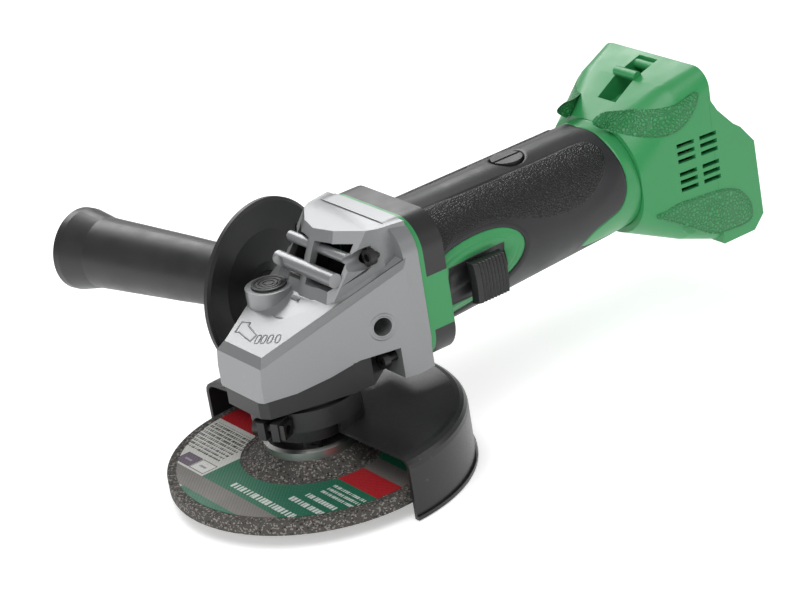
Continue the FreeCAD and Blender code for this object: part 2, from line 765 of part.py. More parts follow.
def wedge(name, inset):
    """The low front of the case: side view and plan as two prisms, and what they share."""
    rise = "(%s) * roof_rise"
    skin = "(%s) * 0.96" % inset
    low = "case_low" if inset == "0" else "case_low - 1"
    back = "case_back" if inset == "0" else "case_back + 1"
    foot = "case_foot + (%s)" % inset if inset != "0" else "case_foot"
    side = [("-nose_foot + (%s)" % inset, low), ("-nose_edge + (%s)" % inset, "nose_edge_height"),
            ("-nose_top + (%s)" % inset, "nose_top_height - %s + (%s) * roof_rise" % (skin, inset)),
            (back, "nose_top_height - %s + (%s + nose_top) * roof_rise" % (skin, back)),
            (back, foot), ("arch_back + (%s)" % inset, foot),
            ("arch_back + (%s)" % inset, "arch_height + (%s)" % inset if inset != "0" else "arch_height")]
    if inset == "0":
        side += [("arch_start", "arch_height"), ("0", "case_low + 2.4"), ("-nose_foot / 2", low)]
    else:
        side += [("arch_start + 7.5", "arch_height + (%s)" % inset), ("arch_start + 7.5", low)]
    tall = prism(name + "_side", "XZ_Plane", side, "-60", "60")
    nose = "-nose_foot + (%s)" % inset
    plan = [(nose, "nose_half - 2.2 - (%s)" % inset), (nose + " + 1.2", half_at("-nose_foot + 1.2", inset)),
            ("arch_back + 7", half_at("arch_back + 7", inset)), (back, "rim_half - 0.8 - (%s)" % inset)]
    shape = [("-nose_foot - 0.6 + (%s) * 1.2" % inset, "0")]
    outline = [(x, "-(%s)" % y) for x, y in reversed(plan)] + shape + plan
    flat = prism(name + "_plan", "XY_Plane", outline, "10", "120")
    return common(name + "_both", tall, flat)


def faceted(low, high):
    """A solid between two outlines with the same corners, every side split into flat triangles."""
    count = len(low)
    faces = [Part.Face(Part.makePolygon(loop + [loop[0]])) for loop in (low, high)]
    for i in range(count):
        j = (i + 1) % count
        for corners in ((low[i], low[j], high[j]), (low[i], high[j], high[i])):
            faces.append(Part.Face(Part.makePolygon(list(corners) + [corners[0]])))
    return Part.makeSolid(Part.makeShell(faces))


def hump_body(name, inset):
    """The tall rear of the case, in flat facets between a low and a high outline."""
    low_half = [("hump_front + (%s)" % inset, "hump_half - (%s)" % inset),
                ("hump_front + (%s)" % inset, "hump_half / 2"),
                ("hump_front + (%s)" % inset, "0")]
    high_half = [("hump_shoulder + (%s) * 0.6" % inset, "hump_half + 1.5 - (%s)" % inset),
                 ("hump_crest + 3 + (%s)" % inset, "hump_half / 2"),
                 ("hump_crest + (%s)" % inset, "0")]
    low_half = [("case_back - 0.4 + (%s) / 2" % inset, "rim_half - 1.6 - (%s)" % inset),
                ("arch_back", half_at("arch_back", inset))] + low_half
    high_half = [("case_back - 0.4 + (%s) / 2" % inset, "rim_half - 6 - (%s)" % inset),
                 ("hump_shoulder + 4", "hump_half + 4 - (%s)" % inset)] + high_half
    loops = []
    for points, height in ((low_half, "nose_top_height + 6"), (high_half, "hump_top - (%s)" % inset)):
        half = [Vector(number(x), -number(y), number(height)) for x, y in points]
        loops.append(half + [Vector(point.x, -point.y, point.z) for point in reversed(half[:-1])])
    body = doc.addObject("Part::Feature", name)
    body.Shape = faceted(*loops)
    return body


def rounded_block(name, start, end, half, low, high, corner):
    """A block along X with four rounded long edges."""
    body = prism(name, "YZ_Plane", [("-(%s)" % half, low), (half, low), (half, high), ("-(%s)" % half, high)],
                 start, end)
    doc.recompute()
    pad = body.Tip
    picks = [i for i, edge in enumerate(pad.Shape.Edges, 1)
             if abs(edge.Vertexes[0].X - edge.Vertexes[-1].X) > 0.01]
    round_edges = body.newObject("PartDesign::Fillet", name + "_round")
    round_edges.Base = (pad, ["Edge%d" % i for i in picks])
    bind(round_edges, "Radius", corner)
    return body


def louvre_bars():
    """Two rounded bars across the vents, following the slope of the hump's front."""
    bars = []
    for i, share in enumerate((0.30, 0.72)):
        height = "vent_low + (vent_high - vent_low) * %s" % share
        place = "hump_front + 3.2 + (hump_crest - hump_front + 3) * %s" % share
        bars.append(rod("louvre_%d" % i, "louvre" if i else "louvre + 0.8", "-vent_half - 1",
                        "2 * vent_half + 2", x=place, z=height, axis="Y"))
    return bars


def boss_cylinder(name, radius, start, length, side):
    """A cylinder square to the case's tapered side, measured outwards from the boss's face."""
    aim = Rotation(Vector(0, 0, 1), Vector(-math.sin(math.radians(number("side_angle"))),
                                           side * math.cos(math.radians(number("side_angle"))), 0))
    spot = Vector(number("handle_x"), side * number("handle_y"), number("handle_height"))
    bar = doc.addObject("Part::Cylinder", name)
    bind(bar, "Radius", radius)
    bind(bar, "Height", length)
    bar.Placement = Placement(spot + aim.multVec(Vector(0, 0, number(start))), aim)
    return bar


CASE_SCREWS = (("29", "24", "89"), ("26", "26", "44"))


def screw_spots():
    """The four long case screws: their head seat, side and height."""
    return [(seat, "%d * %s" % (side, y), z) for seat, y, z in CASE_SCREWS for side in (-1, 1)]


def make_gear_case():
    """The die-cast case: wedge, hump and rear rim, hollowed, with its bosses, vents and bores."""
    rim = rounded_block("case_rim", "arch_back + 7", "case_back", "rim_half", "case_foot", "rim_top", "rim_corner")
    lock_column = rod("lock_column", "lock_boss", "lock_floor - 4", "lock_boss_top - lock_floor + 4",
                      x="lock_x", y="lock_y")
    bosses = [boss_cylinder("handle_boss_%d" % i, "handle_boss", "-2.5", "2.5", side)
              for i, side in enumerate((-1, 1))]
    outside = fuse("case_outside", [wedge("case_wedge", "0"), hump_body("case_hump", "0"), rim, lock_column]
                   + bosses)
    rim_inside = rounded_block("case_rim_inside", "arch_back + 7 + wall", "case_back + 1", "rim_half - wall",
                               "case_foot + wall", "rim_top - wall", "rim_corner - wall")
    inside = fuse("case_inside", [wedge("case_hollow", "wall"), hump_body("case_hump_hollow", "wall"), rim_inside])
    shell = cut("case_shell", outside, [inside])

    pads = [rod("bush_boss", "bush_radius + 2", "bush_low", "tip_top - bush_low + 2"),
            rod("lock_guide", "lock_pin + 3.4", "lock_floor - 2.2", "8", x="lock_x", y="lock_y")]
    pads += [boss_cylinder("handle_pad_%d" % i, "handle_boss - 1.4", "-handle_thread_depth - 1.6",
                           "handle_thread_depth - 1", side) for i, side in enumerate((-1, 1))]
    pads += louvre_bars()
    pads.append(block("centre_rib", ("hump_front", "hump_front + 2.5"), ("-rib_half", "rib_half"),
                      ("nose_top_height + 8", "nose_top_height + 12")))
    vents = [block("vent_%d" % i, ("-5", "hump_shoulder - 2"), span, ("vent_low", "vent_high"))
             for i, span in enumerate((("rib_half", "vent_half"), ("-vent_half", "-rib_half")))]
    open_shell = cut("case_vented", shell, vents)
    full = fuse("case_full", [open_shell] + pads)
    bores = [rod("bush_bore", "bush_radius", "bush_low - 1", "tip_top - bush_low + 1.2"),
             rod("lock_bore", "lock_button + play", "lock_floor", "20", x="lock_x", y="lock_y"),
             rod("lock_pin_bore", "lock_pin + run", "lock_floor - 6", "12", x="lock_x", y="lock_y")]
    bores += [boss_cylinder("handle_bore_%d" % i, "handle_thread", "-handle_thread_depth",
                            "handle_thread_depth + 2", side) for i, side in enumerate((-1, 1))]
    for i, (seat, y, z) in enumerate(screw_spots()):
        bores.append(rod("case_screw_hole_%d" % i, "screw_radius + 0.1", "20", "60", y=y, z=z, axis="X"))
        bores.append(rod("case_screw_recess_%d" % i, "screw_head + 0.7", "10", seat + " - 10", y=y, z=z, axis="X"))
    node(cut("gear_case_cut", full, bores), "gear_case")


HOLDER_SCREWS = (("-22.0", "11.5"), ("18.5", "20.5"))


def holder_plan(inset):
    """The bearing holder's outline seen from above."""
    points = [("-nose_foot + 0.6 + (%s)" % inset, "nose_half - 4 - (%s)" % inset),
              ("-nose_foot + 3", half_at("-nose_foot + 3", "0.6 + " + inset)),
              ("arch_start - 3", half_at("arch_start - 3", "0.6 + " + inset)),
              ("arch_start + 6", half_at("arch_start - 3", "0.6 + " + inset)),
              ("arch_back - 1 - (%s)" % inset, "nose_half + 1.5 - (%s)" % inset)]
    return [(x, "-(%s)" % y) for x, y in reversed(points)] + points


def make_bearing_holder():
    """The black cast holder under the case: a plate to the case's lower edge, and the clamp neck."""
    side = [("-nose_foot", "holder_low"), ("arch_back - 1", "holder_low"), ("arch_back - 1", "arch_height"),
            ("arch_start", "arch_height"), ("0", "case_low + 2.4"), ("-nose_foot / 2", "case_low"),
            ("-nose_foot", "case_low")]
    plate = common("holder_plate", prism("holder_side", "XZ_Plane", side, "-60", "60"),
                   prism("holder_outline", "XY_Plane", holder_plan("0"), "30", "60"))
    neck = turned("holder_neck", [("collar_radius + 0.4", "neck_low"), ("neck_small", "neck_low"),
                                  ("neck_small", "neck_step"), ("neck_radius", "neck_step"),
                                  ("neck_radius", "holder_low + 1"), ("collar_radius + 0.4", "holder_low + 1")])
    well = [rod("bearing_bore", "bearing_radius", "bearing_low", "40"),
            rod("seal_bore", "collar_radius + 4.5", "neck_low + 1.6", "20"),
            rod("ring_groove", "bearing_radius + 0.7", "bearing_high", "ring_thick"),
            rod("gear_well", "lock_disc_radius + 0.9", "ring_top + 2.5", "30")]
    for i, (x, y) in enumerate(HOLDER_SCREWS):
        for tag, sign in (("a", -1), ("b", 1)):
            spot = "%d * %s" % (sign, y)
            well.append(rod("holder_hole_%d%s" % (i, tag), "screw_radius + 0.1", "30", "30", x=x, y=spot))
            well.append(rod("holder_recess_%d%s" % (i, tag), "screw_head - 0.1", "holder_low - 1", "4",
                            x=x, y=spot))
    node(cut("holder_cut", fuse("holder_solid", [plate, neck]), well), "bearing_holder")
    node(ring("bearing_ring", "bearing_radius - 2.2", "bearing_radius + 0.7", "bearing_high", "ring_top"),
         "bearing_circlip")
    node(ring("seal_ring", "collar_radius + run", "collar_radius + 4.5", "neck_low + 1.6", "bearing_low - 2.4"),
         "dust_seal")


def make_screw(name, seat, length, y, z, x="0", axis="X", tall="screw_head_tall"):
    """A socket screw: shank and head, with a six-sided recess, pointing along X or Z."""
    head = number("screw_head") - 0.2
    depth = number(tall)
    shank = Part.makeCylinder(number("screw_radius"), length)
    cap = Part.makeCylinder(head, depth, Vector(0, 0, -depth))
    corners = [Vector(1.9 * math.cos(math.pi * i / 3), 1.9 * math.sin(math.pi * i / 3), -depth - 1)
               for i in range(7)]
    socket = Part.Face(Part.makePolygon(corners)).extrude(Vector(0, 0, depth / 2 + 1))
    thing = doc.addObject("Part::Feature", name)
    thing.Shape = shank.fuse(cap).cut(socket).removeSplitter()
    spot = Vector(number(seat), number(y), number(z)) if axis == "X" else Vector(number(x), number(y), number(seat))
    thing.Placement = Placement(spot, AIMS[axis])
    return thing


def make_case_screws():
    """The long screws through case, inner cover and housing, and the short ones in the holder."""
    long_ones = [make_screw("case_screw_%d" % i, seat, 27, y, z) for i, (seat, y, z) in enumerate(screw_spots())]
    node(group("case_screw_set", long_ones), "gear_case_screws")
    short_ones = []
    for i, (x, y) in enumerate(HOLDER_SCREWS):
        for tag, sign in (("a", -1), ("b", 1)):
            short_ones.append(make_screw("holder_screw_%d%s" % (i, tag), "holder_low + 3", 5,
                                         "%d * %s" % (sign, y), "0", x=x, axis="Z", tall="screw_head_tall - 0.4"))
    node(group("holder_screw_set", short_ones), "bearing_holder_screws")


# ---------------------------------------------------------------- guard

def make_guard():
    """The wheel guard, its clamp band with two ears, and the clamp screw with its square nut."""
    bend = number("guard_shoulder")
    corner = [("guard_radius - guard_shoulder * %.4f" % (1 - math.sin(math.radians(angle))),
               "guard_roof - guard_shoulder * %.4f" % (1 - math.cos(math.radians(angle))))
              for angle in (0, 22.5, 45, 67.5, 90)]
    inner = [("guard_inner - (guard_shoulder - guard_sheet) * %.4f" % (1 - math.sin(math.radians(angle))),
              "guard_roof - guard_sheet - (guard_shoulder - guard_sheet) * %.4f"
              % (1 - math.cos(math.radians(angle)))) for angle in (90, 67.5, 45, 22.5, 0)]
    outline = [("collar_inner", "collar_low"), ("collar_inner", "guard_roof - guard_sheet")]
    outline += list(reversed(inner)) + [("guard_inner", "guard_foot"), ("guard_radius + 1", "guard_foot"),
                                        ("guard_radius + 1", "guard_foot + guard_sheet"),
                                        ("guard_radius", "guard_foot + guard_sheet")]
    outline += list(reversed(corner)) + [("collar_outer", "guard_roof"), ("collar_outer", "collar_low")]
    guard = turned("guard_sheet_turned", outline, angle=SIZES["guard_span"])
    guard.Placement = Placement(Vector(0, 0, 0), Rotation(Vector(0, 0, 1), SIZES["guard_aim"]))
    node(guard, "guard")

    band = ring("collar_band", "collar_inner", "collar_outer", "collar_low", "collar_high")
    gap = block("collar_gap", ("collar_inner - 1", "collar_outer + 12"), ("-1.5", "1.5"),
                ("collar_low - 1", "collar_high + 1"))
    ears = block("collar_ears", ("collar_outer - 1", "collar_outer + 8"), ("-5", "5"),
                 ("collar_low + 0.4", "collar_high - 0.4"))
    middle = "(collar_low + collar_high) / 2"
    hole = rod("collar_screw_hole", "screw_radius + 0.1", "-10", "20", x="collar_outer + 4", z=middle, axis="Y")
    clamp = cut("collar_cut", fuse("collar_solid", [band, ears]), [gap, hole])
    clamp.Placement = Placement(Vector(0, 0, 0), Rotation(Vector(0, 0, 1), 206))
    node(clamp, "guard_collar")
    screw = make_screw("collar_screw", "0", 10.5, "0", "0", axis="Z")
    nut = doc.addObject("Part::Feature", "collar_nut")
    nut.Shape = Part.makeBox(6.6, 6.6, 2.4, Vector(-3.3, -3.3, 0)).cut(
        Part.makeCylinder(number("screw_radius"), 4, Vector(0, 0, -1)))
    turn = Rotation(Vector(0, 0, 1), 206)
    across = turn.multiply(Rotation(Vector(1, 0, 0), -90))
    for thing, along, name in ((screw, -5.0, "guard_clamp_screw"), (nut, 5.0, "guard_clamp_nut")):
        spot = Vector(number("collar_outer + 4"), along, number(middle))
        thing.Placement = Placement(turn.multVec(spot), across)
        node(thing, name)


# ---------------------------------------------------------------- side handle

def make_handle():
    """The side handle: stud, moulded grip and the round hand guard, swept forward."""
    aim = Rotation(Vector(0, 0, 1), 90 + number("side_angle"))
    spot = Vector(number("handle_x"), number("handle_y"), number("handle_height"))

    def placed(thing):
        thing.Placement = Placement(spot, aim)
        return thing

    outline = [("-handle_thread_depth + 1.5", "0"), ("-handle_thread_depth + 1.5", "handle_thread - 1"),
               ("-handle_thread_depth + 2.5", "handle_thread - run"), ("30", "handle_thread - run"), ("30", "0")]
    node(placed(turned("handle_stud_turned", outline, "X")), "handle_stud")

    front = "handle_disc"
    outline = [(front + " - 3.4", "6.4"), (front + " - 2.2", "10"), (front + " - 2.2", "handle_disc_radius - 14"),
               (front + " - 4", "handle_disc_radius - 1.5"), (front + " - 3.2", "handle_disc_radius"),
               (front + " - 1.4", "handle_disc_radius"), (front + " - 0.2", "handle_disc_radius - 14"),
               (front, "10"), (front, "6.4")]
    node(placed(turned("hand_disc_turned", outline, "X")), "hand_guard_disc")

    start = front + " + 0.1"
    outline = [("0.3", "handle_thread"), ("0.3", "6.2"), (start, "6.2"), (start, "15.5"),
               (front + " + 2.6", "15.5"), (front + " + 6", "handle_thin"),
               ("handle_length * 0.5", "(handle_thin + handle_thick) / 2"),
               ("handle_length - 18", "handle_thick"), ("handle_length - 6", "handle_flare"),
               ("handle_length - 2.5", "handle_flare"), ("handle_length", "handle_flare - 2.5"),
               ("handle_length", "7"), ("handle_length - 6", "6"), ("handle_length - 6", "0"),
               ("30", "0"), ("30", "handle_thread")]
    node(placed(turned("handle_moulding", outline, "X")), "handle_grip")


# ---------------------------------------------------------------- housing and grip

def oval(name, place, half, tall, height):
    """An upright oval section at this place along X, wider than it is tall."""
    section = doc.addObject("Part::Ellipse", name)
    bind(section, "MajorRadius", half)
    bind(section, "MinorRadius", tall)
    section.Placement = Placement(Vector(0, 0, 0), FACING_X)
    bind(section, "Placement.Base.x", place)
    bind(section, "Placement.Base.z", height)
    return section


def barrel(name, inset, start="flange_back", end="barrel_end"):
    """The oval barrel under the hand, drawn in by an inset, its ends at start and end."""
    slope = "((%s) - barrel_start) / (barrel_end - barrel_start)"
    sections = []
    for tag, place in (("a", start), ("b", end)):
        share = slope % place
        half = "grip_half + (tail_grip_half - grip_half) * %s - (%s)" % (share, inset)
        tall = "grip_tall + (tail_grip_tall - grip_tall) * %s - (%s)" % (share, inset)
        height = "grip_height + (tail_grip_height - grip_height) * %s" % share
        sections.append(oval("%s_%s" % (name, tag), place, half, tall, height))
    loft = doc.addObject("Part::Loft", name + "_loft")
    loft.Sections = sections
    loft.Solid = True
    loft.Ruled = True
    return loft


def knob_window(name, inset, low_y="-60", high_y="-20"):
    """The opening in the side for the switch knob and its travel."""
    return block(name, ("knob_front - switch_travel - 1 - (%s)" % inset, "knob_rear + 1 + (%s)" % inset),
                 (low_y, high_y),
                 ("knob_height - knob_tall / 2 - 0.6 - (%s)" % inset, "knob_height + knob_tall / 2 + 0.6 + (%s)" % inset))


def make_housing():
    """The one-piece motor housing: front flange and oval barrel, bored for the motor."""
    flange = rounded_block("housing_flange", "case_back", "flange_back", "rim_half - 0.4", "case_foot + 0.4",
                           "rim_top - 1", "rim_corner")
    solid = fuse("housing_solid", [flange, barrel("housing_barrel", "skin + run")])
    rear_seat = ("rear_bearing_x - 2", "rear_bearing_end")
    hollow_front = rod("fan_room", "fan_radius + 1.2", "case_back - 1", "flange_back - case_back + 3",
                       z="motor_height", axis="X")
    field = rod("field_bore", "yoke_radius", "yoke_start - 5", "yoke_end - yoke_start + 5",
                z="motor_height", axis="X")
    brush_room = rod("brush_room", "commutator_radius + 4.5", "yoke_end - 1", "rear_bearing_x - yoke_end",
                     z="motor_height", axis="X")
    bearing = rod("rear_bearing_bore", "rear_bearing", rear_seat[0], "rear_bearing_wide + 2",
                  z="motor_height", axis="X")
    rear_room = barrel("housing_rear_room", "skin + housing_wall", "rear_bearing_end + 2.5", "barrel_end + 1")
    shaft_end = rod("shaft_end_room", "rear_journal + 2", "rear_bearing_end - 1", "6", z="motor_height", axis="X")
    bar_slot = block("bar_slot", ("knob_front - switch_travel - 1", "rear_bearing_end + 13"),
                     ("-bar_y - 1.4", "-bar_y + 1.4"), ("knob_height - bar_tall / 2 - 0.6",
                                                         "knob_height + bar_tall / 2 + 0.6"))
    tools = [hollow_front, field, brush_room, bearing, rear_room, shaft_end, bar_slot,
             knob_window("housing_knob_window", "0", "-60", "-bar_y - 0.5")]
    for i, side in enumerate((-1, 1)):
        turn = Rotation(Vector(1, 0, 0), 0 if side > 0 else 180)
        room = doc.addObject("Part::Box", "brush_way_%d" % i)
        bind(room, "Length", "brush_wide + 2 * brush_tube")
        bind(room, "Width", "brush_deep + 2 * brush_tube")
        room.Height = 30
        corner = Vector(-number("brush_wide / 2 + brush_tube"), -number("brush_deep / 2 + brush_tube"), 5)
        room.Placement = Placement(Vector(number("brush_x"), 0, number("motor_height")) + turn.multVec(corner), turn)
        mouth = doc.addObject("Part::Cylinder", "cap_way_%d" % i)
        bind(mouth, "Radius", "brush_cap")
        mouth.Height = 12
        low = "brush_top - brush_cap_thick" if side > 0 else "brush_bottom + brush_cap_thick - 12"
        mouth.Placement = Placement(Vector(number("brush_x"), 0, number(low)), Rotation())
        tools += [room, mouth]
    for i, (seat, y, z) in enumerate(screw_spots()):
        tools.append(rod("housing_screw_hole_%d" % i, "screw_radius", "case_back - 1", "flange_back - case_back",
                         y=y, z=z, axis="X"))
    node(cut("housing_cut", solid, tools), "motor_housing")


def make_grip():
    """The soft black skin over the barrel, open round the switch and the brush caps."""
    outer = barrel("grip_outer", "0", "flange_back + 0.1", "barrel_end")
    inner = barrel("grip_inner", "skin", "flange_back - 1", "barrel_end + 1")
    caps = rod("grip_cap_hole", "brush_cap + play", "20", "100", x="brush_x")
    node(cut("grip_cut", outer, [inner, caps, knob_window("grip_window", "6")]), "grip_skin")


def make_inner_cover():
    """The plate between case and housing, which carries the armature's front bearing."""
    plate = rounded_block("cover_plate", "case_back - 4", "case_back - 0.1", "rim_half - wall - play",
                          "case_foot + wall + play", "rim_top - wall - play", "rim_corner - wall - play")
    cup = rod("cover_cup", "small_bearing + 2.2", "front_bearing_x - 1.5", "case_back - front_bearing_x + 1.4",
              z="motor_height", axis="X")
    tools = [rod("cover_seat", "small_bearing", "front_bearing_x", "30", z="motor_height", axis="X"),
             rod("cover_shaft_hole", "shaft_radius + 3", "20", "20", z="motor_height", axis="X")]
    for i, (y, z, long, tall) in enumerate((("0", "88", "26", "8"), ("0", "48", "26", "8"),
                                            ("-21.5", "68", "7", "22"), ("21.5", "68", "7", "22"))):
        tools.append(block("cover_window_%d" % i, ("20", "60"), ("%s - %s / 2" % (y, long), "%s + %s / 2" % (y, long)),
                           ("%s - %s / 2" % (z, tall), "%s + %s / 2" % (z, tall))))
    for i, (seat, y, z) in enumerate(screw_spots()):
        tools.append(rod("cover_hole_%d" % i, "screw_radius + 0.1", "20", "40", y=y, z=z, axis="X"))
    node(cut("cover_cut", fuse("cover_solid", [plate, cup]), tools), "inner_cover")


# ---------------------------------------------------------------- switch and electrics

def make_switch():
    """The ribbed slide knob, its long bar, the switch block with its plunger, and the spring."""
    z = ("knob_height - knob_tall / 2", "knob_height + knob_tall / 2")
    knob = block("knob_block", ("knob_front", "knob_rear"), ("-knob_out", "-bar_y - bar_thick / 2 - 0.8"), z)
    grooves = [block("knob_groove_%d" % i, ("knob_rear - %s" % (2.4 + 2.6 * i), "knob_rear - %s" % (1.2 + 2.6 * i)),
                     ("-knob_out - 1", "-knob_out + 1"), ("0", "120")) for i in range(4)]
    node(cut("knob_cut", knob, grooves), "switch_knob")
    tall = ("knob_height - bar_tall / 2", "knob_height + bar_tall / 2")
    bar = block("bar_strip", ("knob_front + 2", "rear_bearing_end + 12"), ("-bar_y - bar_thick / 2",
                                                                          "-bar_y + bar_thick / 2"), tall)
    lug = block("bar_lug", ("knob_front + 3", "knob_rear - 3"), ("-bar_y - bar_thick / 2 - 0.8", "-bar_y"),
                ("knob_height - 2", "knob_height + 2"))
    tab = block("bar_tab", ("rear_bearing_end + 10", "rear_bearing_end + 12"), ("-bar_y", "-14"), tall)
    node(fuse("bar_joined", [bar, lug, tab]), "switch_bar")
    case = block("switch_case", ("rear_bearing_end + 18", "rear_bearing_end + 32"), ("-20", "-4"), ("58", "76"))
    hole = rod("plunger_hole", "1.55", "rear_bearing_end + 17", "13", y="-17", z="knob_height", axis="X")
    node(cut("switch_case_cut", case, [hole]), "switch_block")
    node(rod("plunger_rod", "1.5", "rear_bearing_end + 12", "16", y="-17", z="knob_height", axis="X"),
         "switch_plunger")
    spring = doc.addObject("Part::Feature", "switch_coil")
    start = number("rear_bearing_end + 12.1")
    spring.Shape = coil_shape(2.3, 0.3, 0, number("rear_bearing_end + 17.9") - start, 4)
    spring.Placement = Placement(Vector(start, -17, number("knob_height")), AIMS["X"])
    node(spring, "switch_spring")


def make_electrics():
    """The control board in its tray, the terminal block and its blades."""
    board = block("board_tray", ("barrel_end + 6", "barrel_end + 20"), ("-19", "19"), ("56", "84"))
    node(board, "controller")
    block_body = block("terminal_body", ("bay_x - 5", "bay_x + 9"), ("-17", "17"), ("66", "78"))
    slits = [block("terminal_slit_%d" % i, ("bay_x + 2", "bay_x + 6"), ("%s - 0.4" % y, "%s + 0.4" % y), ("60", "76"))
             for i, y in enumerate((-12, -6, 0, 6, 12))]
    node(cut("terminal_cut", block_body, slits), "terminal_block")
    blades = [block("blade_%d" % i, ("bay_x + 2", "bay_x + 6"), ("%s - 0.4" % y, "%s + 0.4" % y), ("57", "76"))
              for i, y in enumerate((-12, -6, 0, 6, 12))]
    node(group("blade_set", blades), "terminal_blades")


# ---------------------------------------------------------------- tail cover

def tail_section(name, place, half, low, high, corner):
    """A rounded rectangle at this place along X, as a sketch with four arcs."""
    sketch = doc.addObject("Sketcher::SketchObject", name)
    wide, bottom, top, turn = number(half), number(low), number(high), number(corner)
    centres = ((wide - turn, bottom + turn, -90), (wide - turn, top - turn, 0),
               (-wide + turn, top - turn, 90), (-wide + turn, bottom + turn, 180))
    for a, b, first in centres:
        circle = Part.Circle(Vector(a, b, 0), Vector(0, 0, 1), turn)
        sketch.addGeometry(Part.ArcOfCircle(circle, math.radians(first), math.radians(first + 90)), False)
    for i in range(4):
        end = sketch.getPoint(i, 2)
        start = sketch.getPoint((i + 1) % 4, 1)
        sketch.addGeometry(Part.LineSegment(end, start), False)
    for i in range(4):
        sketch.addConstraint(Sketcher.Constraint("Tangent", i, 2, 4 + i, 1))
        sketch.addConstraint(Sketcher.Constraint("Tangent", 4 + i, 2, (i + 1) % 4, 1))
    sketch.addConstraint(Sketcher.Constraint("Vertical", 4))
    sketch.addConstraint(Sketcher.Constraint("Horizontal", 5))
    for i in (1, 2, 3):
        sketch.addConstraint(Sketcher.Constraint("Equal", 0, i))
    rules = (("Radius", (0,), corner, turn), ("DistanceX", (-1, 1, 4, 1), half, wide),
             ("DistanceX", (6, 1, -1, 1), half, wide), ("DistanceY", (-1, 1, 5, 1), high, top),
             ("DistanceY", (-1, 1, 7, 1), low, bottom))
    for kind, points, text, value in rules:
        at = sketch.addConstraint(Sketcher.Constraint(kind, *points, value))
        sketch.setExpression("Constraints[%d]" % at, spelled(text, "Sizes."))
    sketch.Placement = Placement(Vector(0, 0, 0), FACING_X)
    bind(sketch, "Placement.Base.x", place)
    return sketch


def tail_loft(name, inset):
    """The tail from the barrel to the battery wall, drawn in by an inset."""
    rows = (("tail_start", "grip_half + 0.2", "tail_grip_height - tail_grip_tall - 0.4",
             "tail_grip_height + tail_grip_tall - 0.2", "22"),
            ("tail_mid", "tail_half - 1.6", "tail_low + 5", "tail_top - 5", "13"),
            ("tail_wall_x", "tail_half", "tail_low", "tail_top", "9"))
    sections = [tail_section("%s_%d" % (name, i), place, "%s - (%s)" % (half, inset), "%s + (%s)" % (low, inset),
                             "%s - (%s)" % (high, inset), corner)
                for i, (place, half, low, high, corner) in enumerate(rows)]
    loft = doc.addObject("Part::Loft", name + "_loft")
    loft.Sections = sections
    loft.Solid = True
    loft.Ruled = True
    return loft


TAIL_SCREWS = (("tail_mid + 1", "45"), ("tail_mid + 1", "94"))


